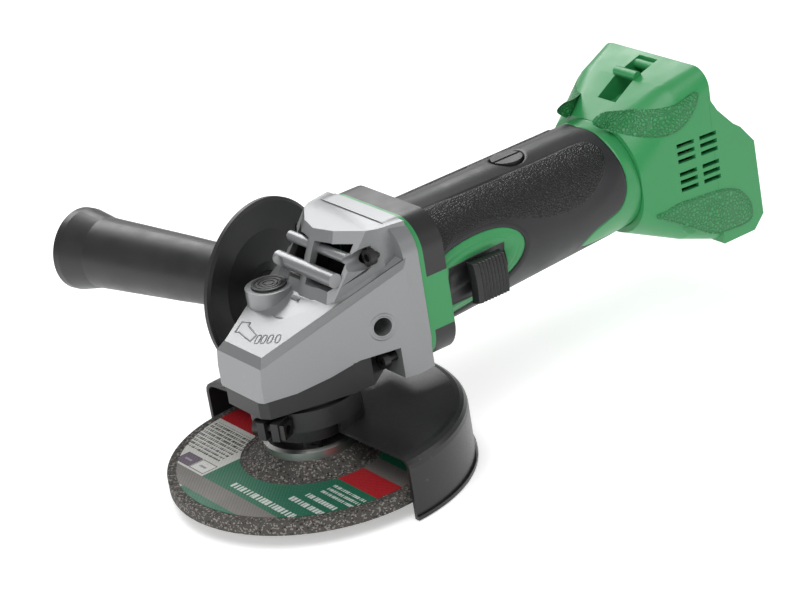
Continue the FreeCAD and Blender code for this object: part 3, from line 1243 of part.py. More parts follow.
def make_tail():
    """The two halves of the tail cover, split down the middle plane, and their screws."""
    outer = tail_loft("tail_outer", "0")
    room = tail_loft("tail_room", "housing_wall")
    cheeks = prism("tail_cheeks", "XZ_Plane",
                   [("tail_wall_x - 1", "tail_low"), ("tail_end - 6", "tail_low"), ("tail_end", "tail_low + 6"),
                    ("tail_end - 1", "cheek_top - 12"), ("tail_end - 8", "cheek_top - 3"),
                    ("tail_end - 12", "cheek_top"), ("tail_wall_x + 3", "cheek_top + 9"),
                    ("tail_wall_x - 1", "cheek_top + 16")], "-tail_half", "tail_half")
    solid = fuse("tail_solid", [outer, cheeks])
    bay = block("tail_bay", ("bay_x", "tail_end + 1"), ("-bay_half", "bay_half"), ("tail_low - 5", "cheek_top + 40"))
    strap = block("strap_slot", ("strap_x - strap_long / 2", "strap_x + strap_long / 2"),
                  ("-strap_half", "strap_half"), ("tail_top - 16", "tail_top + 5"))
    strap_tray = block("strap_tray", ("strap_x - strap_long / 2 - 2", "strap_x + strap_long / 2 + 2"),
                       ("-strap_half - 2", "strap_half + 2"), ("tail_top - 18", "tail_top"))
    mouth = barrel("tail_mouth", "-run", "barrel_end - 2", "tail_start + 0.1")
    terminal = block("terminal_way", ("bay_x - 5", "bay_x + 9"), ("-17", "17"), ("66", "78"))
    hollow = cut("tail_hollow", room, [strap_tray])
    tools = [bay, strap, mouth, terminal]
    for i in range(6):
        for column, place in enumerate(("tail_mid - 3", "tail_mid + 9")):
            low = "62 + %s" % (3.6 * i + (2.4 if i > 2 else 0))
            tools.append(block("tail_vent_%d_%d" % (i, column), (place, place + " + 9"), ("-60", "60"),
                               (low, low + " + 1.9")))
    shell = cut("tail_shell", cut("tail_hollowed", solid, [hollow]), tools)
    bars = [rod("strap_bar_%d" % i, "2.2", "-strap_half - 1", "2 * strap_half + 2", x=x, z="tail_top - 4", axis="Y")
            for i, x in enumerate(("strap_x", "strap_x + strap_long / 2 - 2"))]
    rails = [block("tail_rail_%d" % i, ("tail_end - rail_thick - 3", "tail_end - 3"), span, ("tail_low + 6", "cheek_top - 14"))
             for i, span in enumerate((("-bay_half - 1", "-bay_half + rail_deep"),
                                       ("bay_half - rail_deep", "bay_half + 1")))]
    posts = []
    holes = []
    screws = []
    for i, (x, z) in enumerate(TAIL_SCREWS):
        posts.append(rod("tail_post_%d" % i, "4.2", "-tail_half + 3", "2 * tail_half - 6", x=x, z=z, axis="Y"))
        holes.append(rod("tail_screw_hole_%d" % i, "screw_radius", "-tail_half + 6", "2 * tail_half - 8",
                         x=x, z=z, axis="Y"))
        holes.append(rod("tail_screw_recess_%d" % i, "screw_head", "tail_half - 3.01", "6.01", x=x, z=z, axis="Y"))
    whole = fuse("tail_whole", [shell] + bars + rails + posts)
    bored = cut("tail_bored", whole, holes)
    for name, span in (("tail_cover_left", ("-60", "0")), ("tail_cover_right", ("0", "60"))):
        node(common(name + "_half", bored, block(name + "_side", ("150", "250"), span, ("0", "150"))), name)
    for i, (x, z) in enumerate(TAIL_SCREWS):
        screw = make_screw("tail_screw_%d" % i, "0", 40, "0", "0", axis="Z", tall="screw_head_tall - 0.4")
        spot = Vector(number(x), number("tail_half") - 3, number(z))
        screw.Placement = Placement(spot, AIMS["-Y"])
        screws.append(screw)
    node(group("tail_screw_set", screws), "tail_cover_screws")


# ---------------------------------------------------------------- the whole tool

def check_and_write():
    """Stops on any failed object or bad shape, then writes one STEP file for each sub-part."""
    doc.recompute()
    bad = [thing.Label for thing in doc.Objects if "Invalid" in thing.State or "Error" in thing.State]
    for thing in nodes:
        if thing.Shape.isNull() or not thing.Shape.isValid():
            bad.append(thing.Label)
    if bad:
        raise RuntimeError("failed objects: " + ", ".join(bad))
    os.makedirs("parts", exist_ok=True)
    for thing in nodes:
        thing.Shape.exportStep("parts/%s.step" % thing.Label)
        print("%-24s solids %d  volume %.0f" % (thing.Label, len(thing.Shape.Solids), thing.Shape.Volume))


def main():
    fill_sheet()
    make_wheel()
    make_clamp()
    make_spindle()
    make_bearing("spindle_bearing", "journal_radius", "bearing_radius", "bearing_low", "bearing_wide", 9)
    make_bearing("front_bearing", "shaft_radius", "small_bearing", "front_bearing_x", "small_bearing_wide", 7, "X")
    make_bearing("rear_bearing", "rear_journal", "rear_bearing", "rear_bearing_x", "rear_bearing_wide", 7, "X")
    make_gears()
    make_armature()
    make_field()
    make_brushes()
    make_lock()
    make_gear_case()
    make_bearing_holder()
    make_case_screws()
    make_guard()
    make_handle()
    make_housing()
    make_grip()
    make_inner_cover()
    make_switch()
    make_electrics()
    make_tail()
    check_and_write()


main()
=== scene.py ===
"""Shells, skins, printed disc, finishes, light and camera for the cordless angle grinder."""

import json
import math

import bmesh
import bpy
import numpy as np
from mathutils import Matrix, Vector

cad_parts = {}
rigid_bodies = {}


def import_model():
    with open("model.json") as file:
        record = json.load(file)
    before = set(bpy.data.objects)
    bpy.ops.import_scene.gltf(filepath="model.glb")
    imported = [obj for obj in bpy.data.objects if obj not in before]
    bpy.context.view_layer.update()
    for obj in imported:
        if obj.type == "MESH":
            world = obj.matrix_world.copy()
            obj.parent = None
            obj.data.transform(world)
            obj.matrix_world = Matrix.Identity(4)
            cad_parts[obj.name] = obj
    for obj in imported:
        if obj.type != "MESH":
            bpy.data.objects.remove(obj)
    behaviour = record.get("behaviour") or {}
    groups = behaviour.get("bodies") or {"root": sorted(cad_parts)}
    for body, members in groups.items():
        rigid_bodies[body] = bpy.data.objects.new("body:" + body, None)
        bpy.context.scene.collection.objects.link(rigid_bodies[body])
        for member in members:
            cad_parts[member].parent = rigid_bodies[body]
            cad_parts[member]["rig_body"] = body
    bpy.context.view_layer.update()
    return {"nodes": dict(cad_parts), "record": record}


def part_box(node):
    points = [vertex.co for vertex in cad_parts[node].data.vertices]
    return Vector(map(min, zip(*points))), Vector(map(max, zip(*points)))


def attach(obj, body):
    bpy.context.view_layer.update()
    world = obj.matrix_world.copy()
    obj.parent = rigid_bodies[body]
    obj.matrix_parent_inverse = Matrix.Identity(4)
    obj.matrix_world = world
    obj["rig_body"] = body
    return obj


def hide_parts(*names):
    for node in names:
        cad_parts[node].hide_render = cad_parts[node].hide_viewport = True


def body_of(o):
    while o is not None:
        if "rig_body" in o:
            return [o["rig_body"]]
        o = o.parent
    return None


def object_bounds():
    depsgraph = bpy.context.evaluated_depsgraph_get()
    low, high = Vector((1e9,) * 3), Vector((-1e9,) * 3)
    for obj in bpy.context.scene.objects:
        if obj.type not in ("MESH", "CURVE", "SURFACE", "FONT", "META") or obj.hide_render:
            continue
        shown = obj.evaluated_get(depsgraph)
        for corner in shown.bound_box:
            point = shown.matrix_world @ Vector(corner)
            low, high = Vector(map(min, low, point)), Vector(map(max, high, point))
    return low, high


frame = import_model()

MM = 0.001
NODES = frame["nodes"]
SLOT_OF = {part["node"]: part["material_slot"] for part in frame["record"]["subparts"]}

# oval barrel under the hand, in millimetres
BARREL_START, BARREL_END = 70.0, 166.0
BARREL_HALF, TAIL_HALF = 30.0, 29.6
BARREL_TALL, TAIL_TALL = 27.6, 25.2
BARREL_HEIGHT, TAIL_HEIGHT = 66.6, 70.0
FLANGE_BACK = 58.0
CAP_X, CAP_RADIUS = 119.0, 7.0
GIRTH = 29.0                     # mean radius that turns an angle round the barrel into a length
# gear case roof
ROOF_FRONT, ROOF_FRONT_HEIGHT, ROOF_RISE = -24.8, 61.5, 0.40


# ---------------------------------------------------------------- shapes

def smooth(value, low, high):
    """0 below low, 1 above high, and the cubic 3t^2 - 2t^3 between them."""
    t = np.clip((value - low) / (high - low), 0.0, 1.0)
    return t * t * (3.0 - 2.0 * t)


def flowing(points, steps=10, closed=True):
    """A Catmull-Rom curve through the points: each span is the cubic that leaves and meets its ends along
    the line between their neighbours."""
    p = np.asarray(points, float)
    if closed:
        before, after, far = np.roll(p, 1, 0), np.roll(p, -1, 0), np.roll(p, -2, 0)
        start = p
    else:
        q = np.vstack([2 * p[:1] - p[1:2], p, 2 * p[-1:] - p[-2:-1]])
        before, start, after, far = q[:-3], q[1:-2], q[2:-1], q[3:]
    t = (np.arange(steps) / steps)[None, :, None]
    a, b, c, d = (v[:, None, :] for v in (before, start, after, far))
    curve = 0.5 * (2 * b + (c - a) * t + (2 * a - 5 * b + 4 * c - d) * t ** 2
                   + (3 * b - a - 3 * c + d) * t ** 3)
    curve = curve.reshape(-1, p.shape[1])
    return curve if closed else np.vstack([curve, p[-1:]])


def distance_to(outline, u, v):
    """Signed distance from each (u, v) to a closed outline, below zero inside. It is the shortest distance to
    any edge, and the sign comes from how many edges a line to the right crosses."""
    near = np.full(u.shape, 1e9)
    inside = np.zeros(u.shape, bool)
    for (au, av), (bu, bv) in zip(outline, np.roll(outline, -1, 0)):
        du, dv = bu - au, bv - av
        t = np.clip(((u - au) * du + (v - av) * dv) / (du * du + dv * dv + 1e-12), 0.0, 1.0)
        near = np.minimum(near, np.hypot(u - au - t * du, v - av - t * dv))
        if av != bv:
            crosses = (av > v) != (bv > v)
            inside ^= crosses & (u < au + (v - av) * du / dv)
    return np.where(inside, -near, near)


def grid_mesh(name, points, wrap=False, flip=False, **values):
    """A mesh from points[i, j] in millimetres: each four neighbours on the grid share a face, and wrap joins
    the last column to the first. Each of values becomes a number at every point."""
    rows, cols = points.shape[:2]
    i = np.arange(rows - 1)[:, None] * cols
    j = np.arange(cols if wrap else cols - 1)[None, :]
    n = (j + 1) % cols
    quads = np.stack([i + j, i + n, i + cols + n, i + cols + j], -1).reshape(-1, 4)
    if flip:
        quads = quads[:, ::-1]
    mesh = bpy.data.meshes.new(name)
    mesh.from_pydata((points.reshape(-1, 3) * MM).tolist(), [], quads.tolist())
    for word, numbers in values.items():
        layer = mesh.attributes.new(word, "FLOAT", "POINT")
        layer.data.foreach_set("value", np.asarray(numbers, np.float32).ravel())
    mesh.shade_smooth()
    return mesh


def piece(name, mesh, body, slot, *finishes, stands_for=()):
    """Puts a mesh in the scene as a piece of that body, with its finishes; slot is not used."""
    made = bpy.data.objects.new(name, mesh)
    bpy.context.scene.collection.objects.link(made)
    for each in finishes:
        mesh.materials.append(each)
    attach(made, body)
    if stands_for:
        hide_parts(*stands_for)
    return made


def tube_along(name, path, radius, sides=8, closed=False, flat=1.0):
    """A round bead carried along a path: at each point a circle stands across the path's direction, its
    upright half-width being radius times flat. Open ends close to a point."""
    p = np.asarray(path, float)
    if closed:
        along = np.roll(p, -1, 0) - np.roll(p, 1, 0)
    else:
        along = np.gradient(p, axis=0)
    along /= np.linalg.norm(along, axis=1, keepdims=True)
    up = np.array([0.0, 0.0, 1.0])
    side = np.cross(along, up)
    side /= np.linalg.norm(side, axis=1, keepdims=True)
    lift = np.cross(side, along)
    turn = np.linspace(0, 2 * np.pi, sides, endpoint=False)
    size = np.full(len(p), radius)
    if not closed:
        size[[0, -1]] = radius * 0.02
    ring = (side[:, None] * np.cos(turn)[None, :, None]
            + lift[:, None] * np.sin(turn)[None, :, None] * flat) * size[:, None, None]
    points = p[:, None] + ring
    if closed:
        points = np.concatenate([points, points[:1]])
    return grid_mesh(name, points, wrap=True, flip=True)


def lathe(name, profile, centre, axis, sides=96):
    """A profile of (radius, height) pairs turned once round an axis through centre."""
    profile = np.asarray(profile, float)
    axis = np.asarray(axis, float) / np.linalg.norm(axis)
    side = np.cross(axis, [0.3, 0.2, 0.9])
    side /= np.linalg.norm(side)
    other = np.cross(axis, side)
    turn = np.linspace(0, 2 * np.pi, sides, endpoint=False)
    spoke = side[None, :] * np.cos(turn)[:, None] + other[None, :] * np.sin(turn)[:, None]
    points = (np.asarray(centre, float) + profile[:, 0][:, None, None] * spoke[None]
              + profile[:, 1][:, None, None] * axis)
    return grid_mesh(name, points, wrap=True)


def merged_copy(node, name, cut_past=None):
    """The node's own triangles as a fresh mesh: doubles merged, flat neighbours joined, and, if asked, cut off
    past a place along X."""
    source = NODES[node].data
    places = np.empty(len(source.vertices) * 3, np.float32)
    source.vertices.foreach_get("co", places)
    corners = np.empty(len(source.loops), np.int32)
    source.loops.foreach_get("vertex_index", corners)
    mesh = bpy.data.meshes.new(name)
    mesh.from_pydata(places.reshape(-1, 3).tolist(), [], corners.reshape(-1, 3).tolist())
    work = bmesh.new()
    work.from_mesh(mesh)
    bmesh.ops.remove_doubles(work, verts=work.verts, dist=2e-6)
    if cut_past is not None:
        everything = work.verts[:] + work.edges[:] + work.faces[:]
        bmesh.ops.bisect_plane(work, geom=everything, plane_co=(cut_past * MM, 0, 0), plane_no=(1, 0, 0),
                               clear_outer=True)
    bmesh.ops.dissolve_limit(work, angle_limit=math.radians(0.6), verts=work.verts, edges=work.edges)
    bmesh.ops.dissolve_degenerate(work, dist=1e-5, edges=work.edges)
    return mesh, work


def sharp_edges(work, least=24.0):
    """The edges of a mesh that turn by more than this many degrees, with the normals beside them."""
    for edge in work.edges:
        if len(edge.link_faces) == 2 and edge.calc_face_angle(0.0) > math.radians(least):
            yield edge, edge.link_faces[0].normal, edge.link_faces[1].normal


def finished_copy(node, name, edge, finish, weigh, chamfer=None, cut_past=None):
    """The node's own shape with its edges rounded: weigh gives each sharp edge its share of the rounding.
    Before that, chamfer = (width, which) planes off the edges that which picks."""
    mesh, work = merged_copy(node, name, cut_past)
    if chamfer:
        width, which = chamfer
        chosen = [e for e, a, b in sharp_edges(work) if which(e, a, b)]
        bmesh.ops.bevel(work, geom=chosen, offset=width * MM, segments=1, profile=0.5, affect="EDGES",
                        clamp_overlap=False)
        bmesh.ops.remove_doubles(work, verts=work.verts, dist=2e-5)
    weight = work.edges.layers.float.new("bevel_weight_edge")
    for e, a, b in sharp_edges(work):
        e[weight] = weigh(e, (e.verts[0].co + e.verts[1].co) / (2 * MM))
    work.to_mesh(mesh)
    work.free()
    mesh.shade_smooth()
    made = piece(name, mesh, body_of(NODES[node])[0], SLOT_OF[node], finish, stands_for=(node,))
    rounding = made.modifiers.new("rounded_edges", "BEVEL")
    rounding.limit_method = "WEIGHT"
    rounding.width = edge * MM
    rounding.segments = 3
    rounding.use_clamp_overlap = True
    rounding.harden_normals = True
    return made


def by_length(long, share):
    """Full rounding for edges longer than this, a share of it for the rest."""
    return lambda edge, middle: 1.0 if edge.calc_length() > long * MM else share


# ---------------------------------------------------------------- shader helpers

class Wiring:
    """Adds shader nodes to one tree. A socket given as a value is linked, anything else is set."""

    def __init__(self, tree):
        self.tree = tree

    def add(self, kind, values=None, **settings):
        node = self.tree.nodes.new(kind if kind.startswith("Node") else "ShaderNode" + kind)
        for word, value in settings.items():
            setattr(node, word, value)
        for key, value in (values or {}).items():
            self.put(node.inputs[key], value)
        return node

    def put(self, socket, value):
        if isinstance(value, bpy.types.NodeSocket):
            self.tree.links.new(value, socket)
        elif socket.type == "RGBA" and len(value) == 3:
            socket.default_value = (*value, 1.0)
        else:
            socket.default_value = value

    def maths(self, operation, first, second=0.0, clamp=False):
        node = self.add("Math", {0: first, 1: second}, operation=operation)
        node.use_clamp = clamp
        return node.outputs[0]

    def mixed(self, share, first, second):
        node = self.add("Mix", {0: share, 6: first, 7: second}, data_type="RGBA")
        return node.outputs[2]

    def ramp(self, value, low, high, to_low=0.0, to_high=1.0):
        node = self.add("MapRange", {"Value": value, "From Min": low, "From Max": high,
                                     "To Min": to_low, "To Max": to_high})
        node.interpolation_type = "SMOOTHSTEP"
        return node.outputs[0]

    def place(self):
        return self.add("TexCoord").outputs["Object"]

    def spread(self, vector):
        node = self.add("SeparateXYZ", {0: vector})
        return node.outputs

    def noise(self, scale, detail=3.0, roughness=0.55, vector=None):
        where = vector if vector is not None else self.place()
        return self.add("TexNoise", {"Vector": where, "Scale": scale, "Detail": detail,
                                     "Roughness": roughness}).outputs["Fac"]

    def group(self, tree, values=None):
        node = self.add("Group")
        node.node_tree = tree
        for key, value in (values or {}).items():
            self.put(node.inputs[key], value)
        return node.outputs


def effect(name, inputs, outputs, build):
    """A shader node group: inputs are (name, value) pairs, and build returns one socket for each output."""
    tree = bpy.data.node_groups.new(name, "ShaderNodeTree")
    for word, value in inputs:
        socket = tree.interface.new_socket(word, in_out="INPUT", socket_type="NodeSocketFloat")
        socket.default_value = value
    for word in outputs:
        tree.interface.new_socket(word, in_out="OUTPUT", socket_type="NodeSocketFloat")
    work = Wiring(tree)
    given = tree.nodes.new("NodeGroupInput").outputs
    results = build(work, given)
    gathered = tree.nodes.new("NodeGroupOutput")
    for word, socket in zip(outputs, results):
        tree.links.new(socket, gathered.inputs[word])
    return tree


def build_moulded(work, given):
    """Spark-etched mould texture: fine cells with a little noise over them, and a slow drift of shade."""
    cells = work.add("TexVoronoi", {"Vector": work.place(), "Scale": given["Scale"]}).outputs["Distance"]
    fine = work.noise(given["Scale"], 2.0)
    height = work.maths("ADD", work.maths("MULTIPLY", cells, 0.6), work.maths("MULTIPLY", fine, 0.5))
    tone = work.noise(90.0, 3.0)
    return height, tone


def build_cast(work, given):
    """Painted die casting: orange-peel waves with sharper specks, and a metallic fleck as tone."""
    waves = work.noise(work.maths("MULTIPLY", given["Scale"], 0.25), 4.0, 0.6)
    specks = work.add("TexVoronoi", {"Vector": work.place(), "Scale": given["Scale"]}).outputs["Distance"]
    height = work.maths("ADD", waves, work.maths("MULTIPLY", specks, 0.35))
    fleck = work.noise(work.maths("MULTIPLY", given["Scale"], 1.6), 1.0, 0.8)
    return height, fleck


def build_leather(work, given):
    """Leather-like grain: raised cells with narrow channels between them, broken by noise."""
    drift = work.add("TexNoise", {"Vector": work.place(), "Scale": work.maths("MULTIPLY", given["Scale"], 0.6),
                                  "Detail": 1.0}).outputs["Color"]
    bent = work.add("VectorMath", {0: drift, 1: (0.0007, 0.0007, 0.0007), 2: work.place()},
                    operation="MULTIPLY_ADD").outputs[0]
    cells = work.add("TexVoronoi", {"Vector": bent, "Scale": given["Scale"]},
                     feature="DISTANCE_TO_EDGE").outputs["Distance"]
    height = work.ramp(cells, 0.02, 0.32)
    return height, work.noise(work.maths("MULTIPLY", given["Scale"], 0.5), 2.0)


def build_brushed(work, given):
    """Turned metal: fine rings round the piece's own axis along Z, drawn out by stretched noise."""
    stretched = work.add("Mapping", {"Vector": work.place(), "Scale": (1.0, 1.0, 9.0)}).outputs[0]
    lines = work.noise(given["Scale"], 3.0, 0.6, stretched)
    return lines, work.noise(60.0, 2.0)


def build_scuffs(work, given):
    """Handling scuffs: sparse short marks, where one drawn-out noise and one even noise are both high."""
    drawn = work.add("Mapping", {"Vector": work.place(), "Rotation": (0.3, 0.5, 0.7), "Scale": (1.0, 6.0, 2.0)})
    marks = work.ramp(work.noise(160.0, 5.0, 0.7, drawn.outputs[0]), 0.60, 0.70)
    patches = work.ramp(work.noise(28.0, 2.0), 0.50, 0.65)
    return (work.maths("MULTIPLY", work.maths("MULTIPLY", marks, patches), given["Amount"]),)


def build_dust(work, given):
    """Grinding dust: settles in soft patches, more on faces that look up."""
    upward = work.ramp(work.spread(work.add("NewGeometry").outputs["Normal"])["Z"], -0.2, 0.9, 0.25, 1.0)
    patches = work.ramp(work.noise(40.0, 6.0, 0.7), 0.35, 0.80)
    return (work.maths("MULTIPLY", work.maths("MULTIPLY", upward, patches), given["Amount"]),)


MOULDED = effect("moulded_grain", [("Scale", 2200.0)], ("Height", "Tone"), build_moulded)
CAST = effect("cast_skin", [("Scale", 1800.0)], ("Height", "Tone"), build_cast)
LEATHER = effect("leather_grain", [("Scale", 900.0)], ("Height", "Tone"), build_leather)
BRUSHED = effect("brushed_metal", [("Scale", 1500.0)], ("Height", "Tone"), build_brushed)
SCUFFS = effect("handling_scuffs", [("Amount", 0.5)], ("Mask",), build_scuffs)
DUST = effect("grinding_dust", [("Amount", 0.2)], ("Mask",), build_dust)


class Finish:
    """One material: a base colour varied by tone, worn and dusted, with a grain raised by a bump."""

    def __init__(self, name, colour, roughness, metallic=0.0, grain=MOULDED, scale=2200.0, depth=0.03,
                 spread=0.10, wear=0.0, worn=(0.5, 0.5, 0.5), dust=0.0, **shader):
        self.material = bpy.data.materials.new(name)
        self.material.use_nodes = True
        tree = self.material.node_tree
        tree.nodes.clear()
        self.work = work = Wiring(tree)
        self.shader = work.add("BsdfPrincipled", {"Metallic": metallic, **shader})
        output = work.add("OutputMaterial")
        tree.links.new(self.shader.outputs[0], output.inputs["Surface"])
        grained = work.group(grain, {"Scale": scale})
        self.height, self.tone = grained["Height"], grained["Tone"]
        darker = tuple(c * (1 - spread) for c in colour)
        lighter = tuple(min(c * (1 + spread), 1.0) for c in colour)
        self.colour = work.mixed(self.tone, darker, lighter)
        self.rough = work.ramp(self.tone, 0.25, 0.75, max(roughness - 0.06, 0.03), min(roughness + 0.06, 1.0))
        if wear:
            mask = work.group(SCUFFS, {"Amount": wear})["Mask"]
            self.colour = work.mixed(mask, self.colour, worn)
        if dust:
            mask = work.group(DUST, {"Amount": dust})["Mask"]
            self.colour = work.mixed(mask, self.colour, (0.30, 0.28, 0.26))
            self.rough = work.maths("MAXIMUM", self.rough, work.maths("MULTIPLY", mask, 0.9))
        self.depth = depth
        self.raise_by(self.height, depth)
        self.settle()

    def raise_by(self, height, depth, under=None):
        """A bump of this depth in millimetres, on top of any bump under it."""
        bump = self.work.add("Bump", {"Height": height, "Strength": 1.0, "Distance": depth * MM})
        if under is not None:
            self.work.put(bump.inputs["Normal"], under)
        self.normal = bump.outputs["Normal"]

    def settle(self):
        """Feeds the shader from what has been worked out so far."""
        self.work.put(self.shader.inputs["Base Color"], self.colour)
        self.work.put(self.shader.inputs["Roughness"], self.rough)
        self.work.put(self.shader.inputs["Normal"], self.normal)
        return self.material


GREEN = (0.032, 0.270, 0.085)
BLACK = (0.016, 0.016, 0.017)

green_plastic = Finish("green_plastic", GREEN, 0.36, scale=2600.0, depth=0.02, wear=0.12,
                       worn=(0.10, 0.42, 0.18), spread=0.06).material
black_plastic = Finish("black_plastic", BLACK, 0.40, scale=2400.0, depth=0.03, wear=0.15,
                       worn=(0.06, 0.06, 0.062), spread=0.15).material
case_paint = Finish("case_paint", (0.27, 0.275, 0.28), 0.36, 0.60, grain=CAST, scale=2300.0, depth=0.022,
                    wear=0.20, worn=(0.50, 0.50, 0.50), spread=0.12, dust=0.03).material
black_cast = Finish("black_cast", (0.018, 0.018, 0.019), 0.42, 0.15, grain=CAST, scale=1700.0, depth=0.04,
                    wear=0.25, worn=(0.12, 0.12, 0.12), spread=0.20, dust=0.02).material
guard_coat = Finish("guard_coat", (0.012, 0.012, 0.013), 0.34, 0.1, grain=CAST, scale=1300.0, depth=0.03,
                    wear=0.25, worn=(0.16, 0.16, 0.16), spread=0.20, dust=0.02).material
plated_steel = Finish("plated_steel", (0.58, 0.58, 0.57), 0.30, 1.0, grain=BRUSHED, scale=1500.0, depth=0.012,
                      spread=0.10).material
dark_steel = Finish("dark_steel", (0.055, 0.053, 0.052), 0.38, 0.9, grain=BRUSHED, scale=1300.0, depth=0.015,
                    spread=0.20).material
copper = Finish("copper_wire", (0.60, 0.24, 0.11), 0.32, 1.0, grain=BRUSHED, scale=1100.0, depth=0.03,
                spread=0.20).material
brass = Finish("brass", (0.62, 0.44, 0.16), 0.30, 1.0, grain=BRUSHED, scale=1300.0, depth=0.01,
               spread=0.10).material
lamination = Finish("lamination", (0.20, 0.20, 0.21), 0.42, 0.9, grain=BRUSHED, scale=1800.0, depth=0.03,
                    spread=0.25).material
ferrite = Finish("ferrite", (0.035, 0.034, 0.034), 0.60, grain=CAST, scale=1500.0, depth=0.05,
                 spread=0.20).material
carbon = Finish("carbon", (0.020, 0.020, 0.022), 0.45, 0.2, grain=MOULDED, scale=3000.0, depth=0.02,
                spread=0.20).material
board = Finish("board", (0.02, 0.10, 0.05), 0.35, grain=MOULDED, scale=900.0, depth=0.02,
               spread=0.25).material


def grip_finish():
    """Soft black rubber: leather grain inside the panel, with painted shade in the grain's channels, and a finer
    matt skin outside it.
    """
    made = Finish("soft_grip", (0.015, 0.015, 0.017), 0.43, scale=2600.0, depth=0.02, spread=0.12)
    work = made.work
    inside = work.ramp(work.add("Attribute", attribute_name="panel").outputs["Fac"], 0.15, -0.35)
    grain = work.group(LEATHER, {"Scale": 820.0})
    raised = work.maths("MULTIPLY", grain["Height"], inside)
    made.raise_by(raised, 0.34, made.normal)
    made.rough = work.maths("ADD", made.rough, work.maths("MULTIPLY", inside, 0.02))
    # painted shade: darker in the channels between the grain's raised cells
    made.colour = work.mixed(work.maths("MULTIPLY", inside, work.maths("SUBTRACT", 1.0, grain["Height"])),
                             made.colour, (0.006, 0.006, 0.006))
    return made.settle()


def painted_slot_finish():
    """Green shell plastic with near-black painted over the switch's sliding track: the black slider plate seen in
    the slot and the shade inside the slot, painted on the green instead of cut.
    """
    made = Finish("green_shell_painted_slot", GREEN, 0.34, scale=2600.0, depth=0.02, spread=0.06, wear=0.2,
                  worn=(0.10, 0.42, 0.18))
    work = made.work
    track = work.ramp(work.add("Attribute", attribute_name="track").outputs["Fac"], 0.1, -0.1)
    # near-black over the track: the slider plate's own black and the slot's shade, both painted on
    made.colour = work.mixed(track, made.colour, (0.010, 0.010, 0.011))
    return made.settle()


def flange_finish():
    """Motor housing: a green front lip and green behind the switch side, black bumpers over the rest."""
    made = Finish("housing_two_tone", GREEN, 0.36, scale=2600.0, depth=0.02, spread=0.06)
    work = made.work
    x, y, z = work.spread(work.place())[:3]
    behind_lip = work.ramp(x, 0.04755, 0.04765)
    off_side = work.ramp(work.maths("ABSOLUTE", work.maths("SUBTRACT", z, 0.0625)), 0.01195, 0.01205)
    far = work.ramp(y, -0.0262, -0.0258)
    black = work.maths("MULTIPLY", behind_lip, work.maths("MAXIMUM", off_side, far))
    made.colour = work.mixed(black, made.colour, BLACK)
    return made.settle()


def wheel_finish():
    """Bonded abrasive: packed dark grains with pale and glinting ones among them, and near-black cells painted as
    the shade in pits between them.
    """
    made = Finish("abrasive", (0.060, 0.055, 0.050), 0.82, grain=CAST, scale=900.0, depth=0.10, spread=0.35)
    work = made.work
    grains = work.add("TexVoronoi", {"Vector": work.place(), "Scale": 1500.0})
    pick = work.spread(grains.outputs["Color"])["X"]
    pale = work.ramp(pick, 0.80, 0.84)
    made.colour = work.mixed(pale, made.colour, (0.20, 0.185, 0.165))
    # painted shade: near-black cells standing for pits between the grains
    made.colour = work.mixed(work.ramp(pick, 0.10, 0.06), made.colour, (0.012, 0.011, 0.010))
    made.raise_by(grains.outputs["Distance"], 0.22, made.normal)
    made.rough = work.ramp(pale, 0.0, 1.0, 0.86, 0.60)
    return made.settle()


PAPER, LABEL_GREEN, LABEL_RED = (0.50, 0.50, 0.47), (0.008, 0.115, 0.062), (0.34, 0.010, 0.016)
BARE_GREY, INK, PALE_INK = (0.14, 0.13, 0.12), (0.03, 0.03, 0.03), (0.52, 0.56, 0.53)


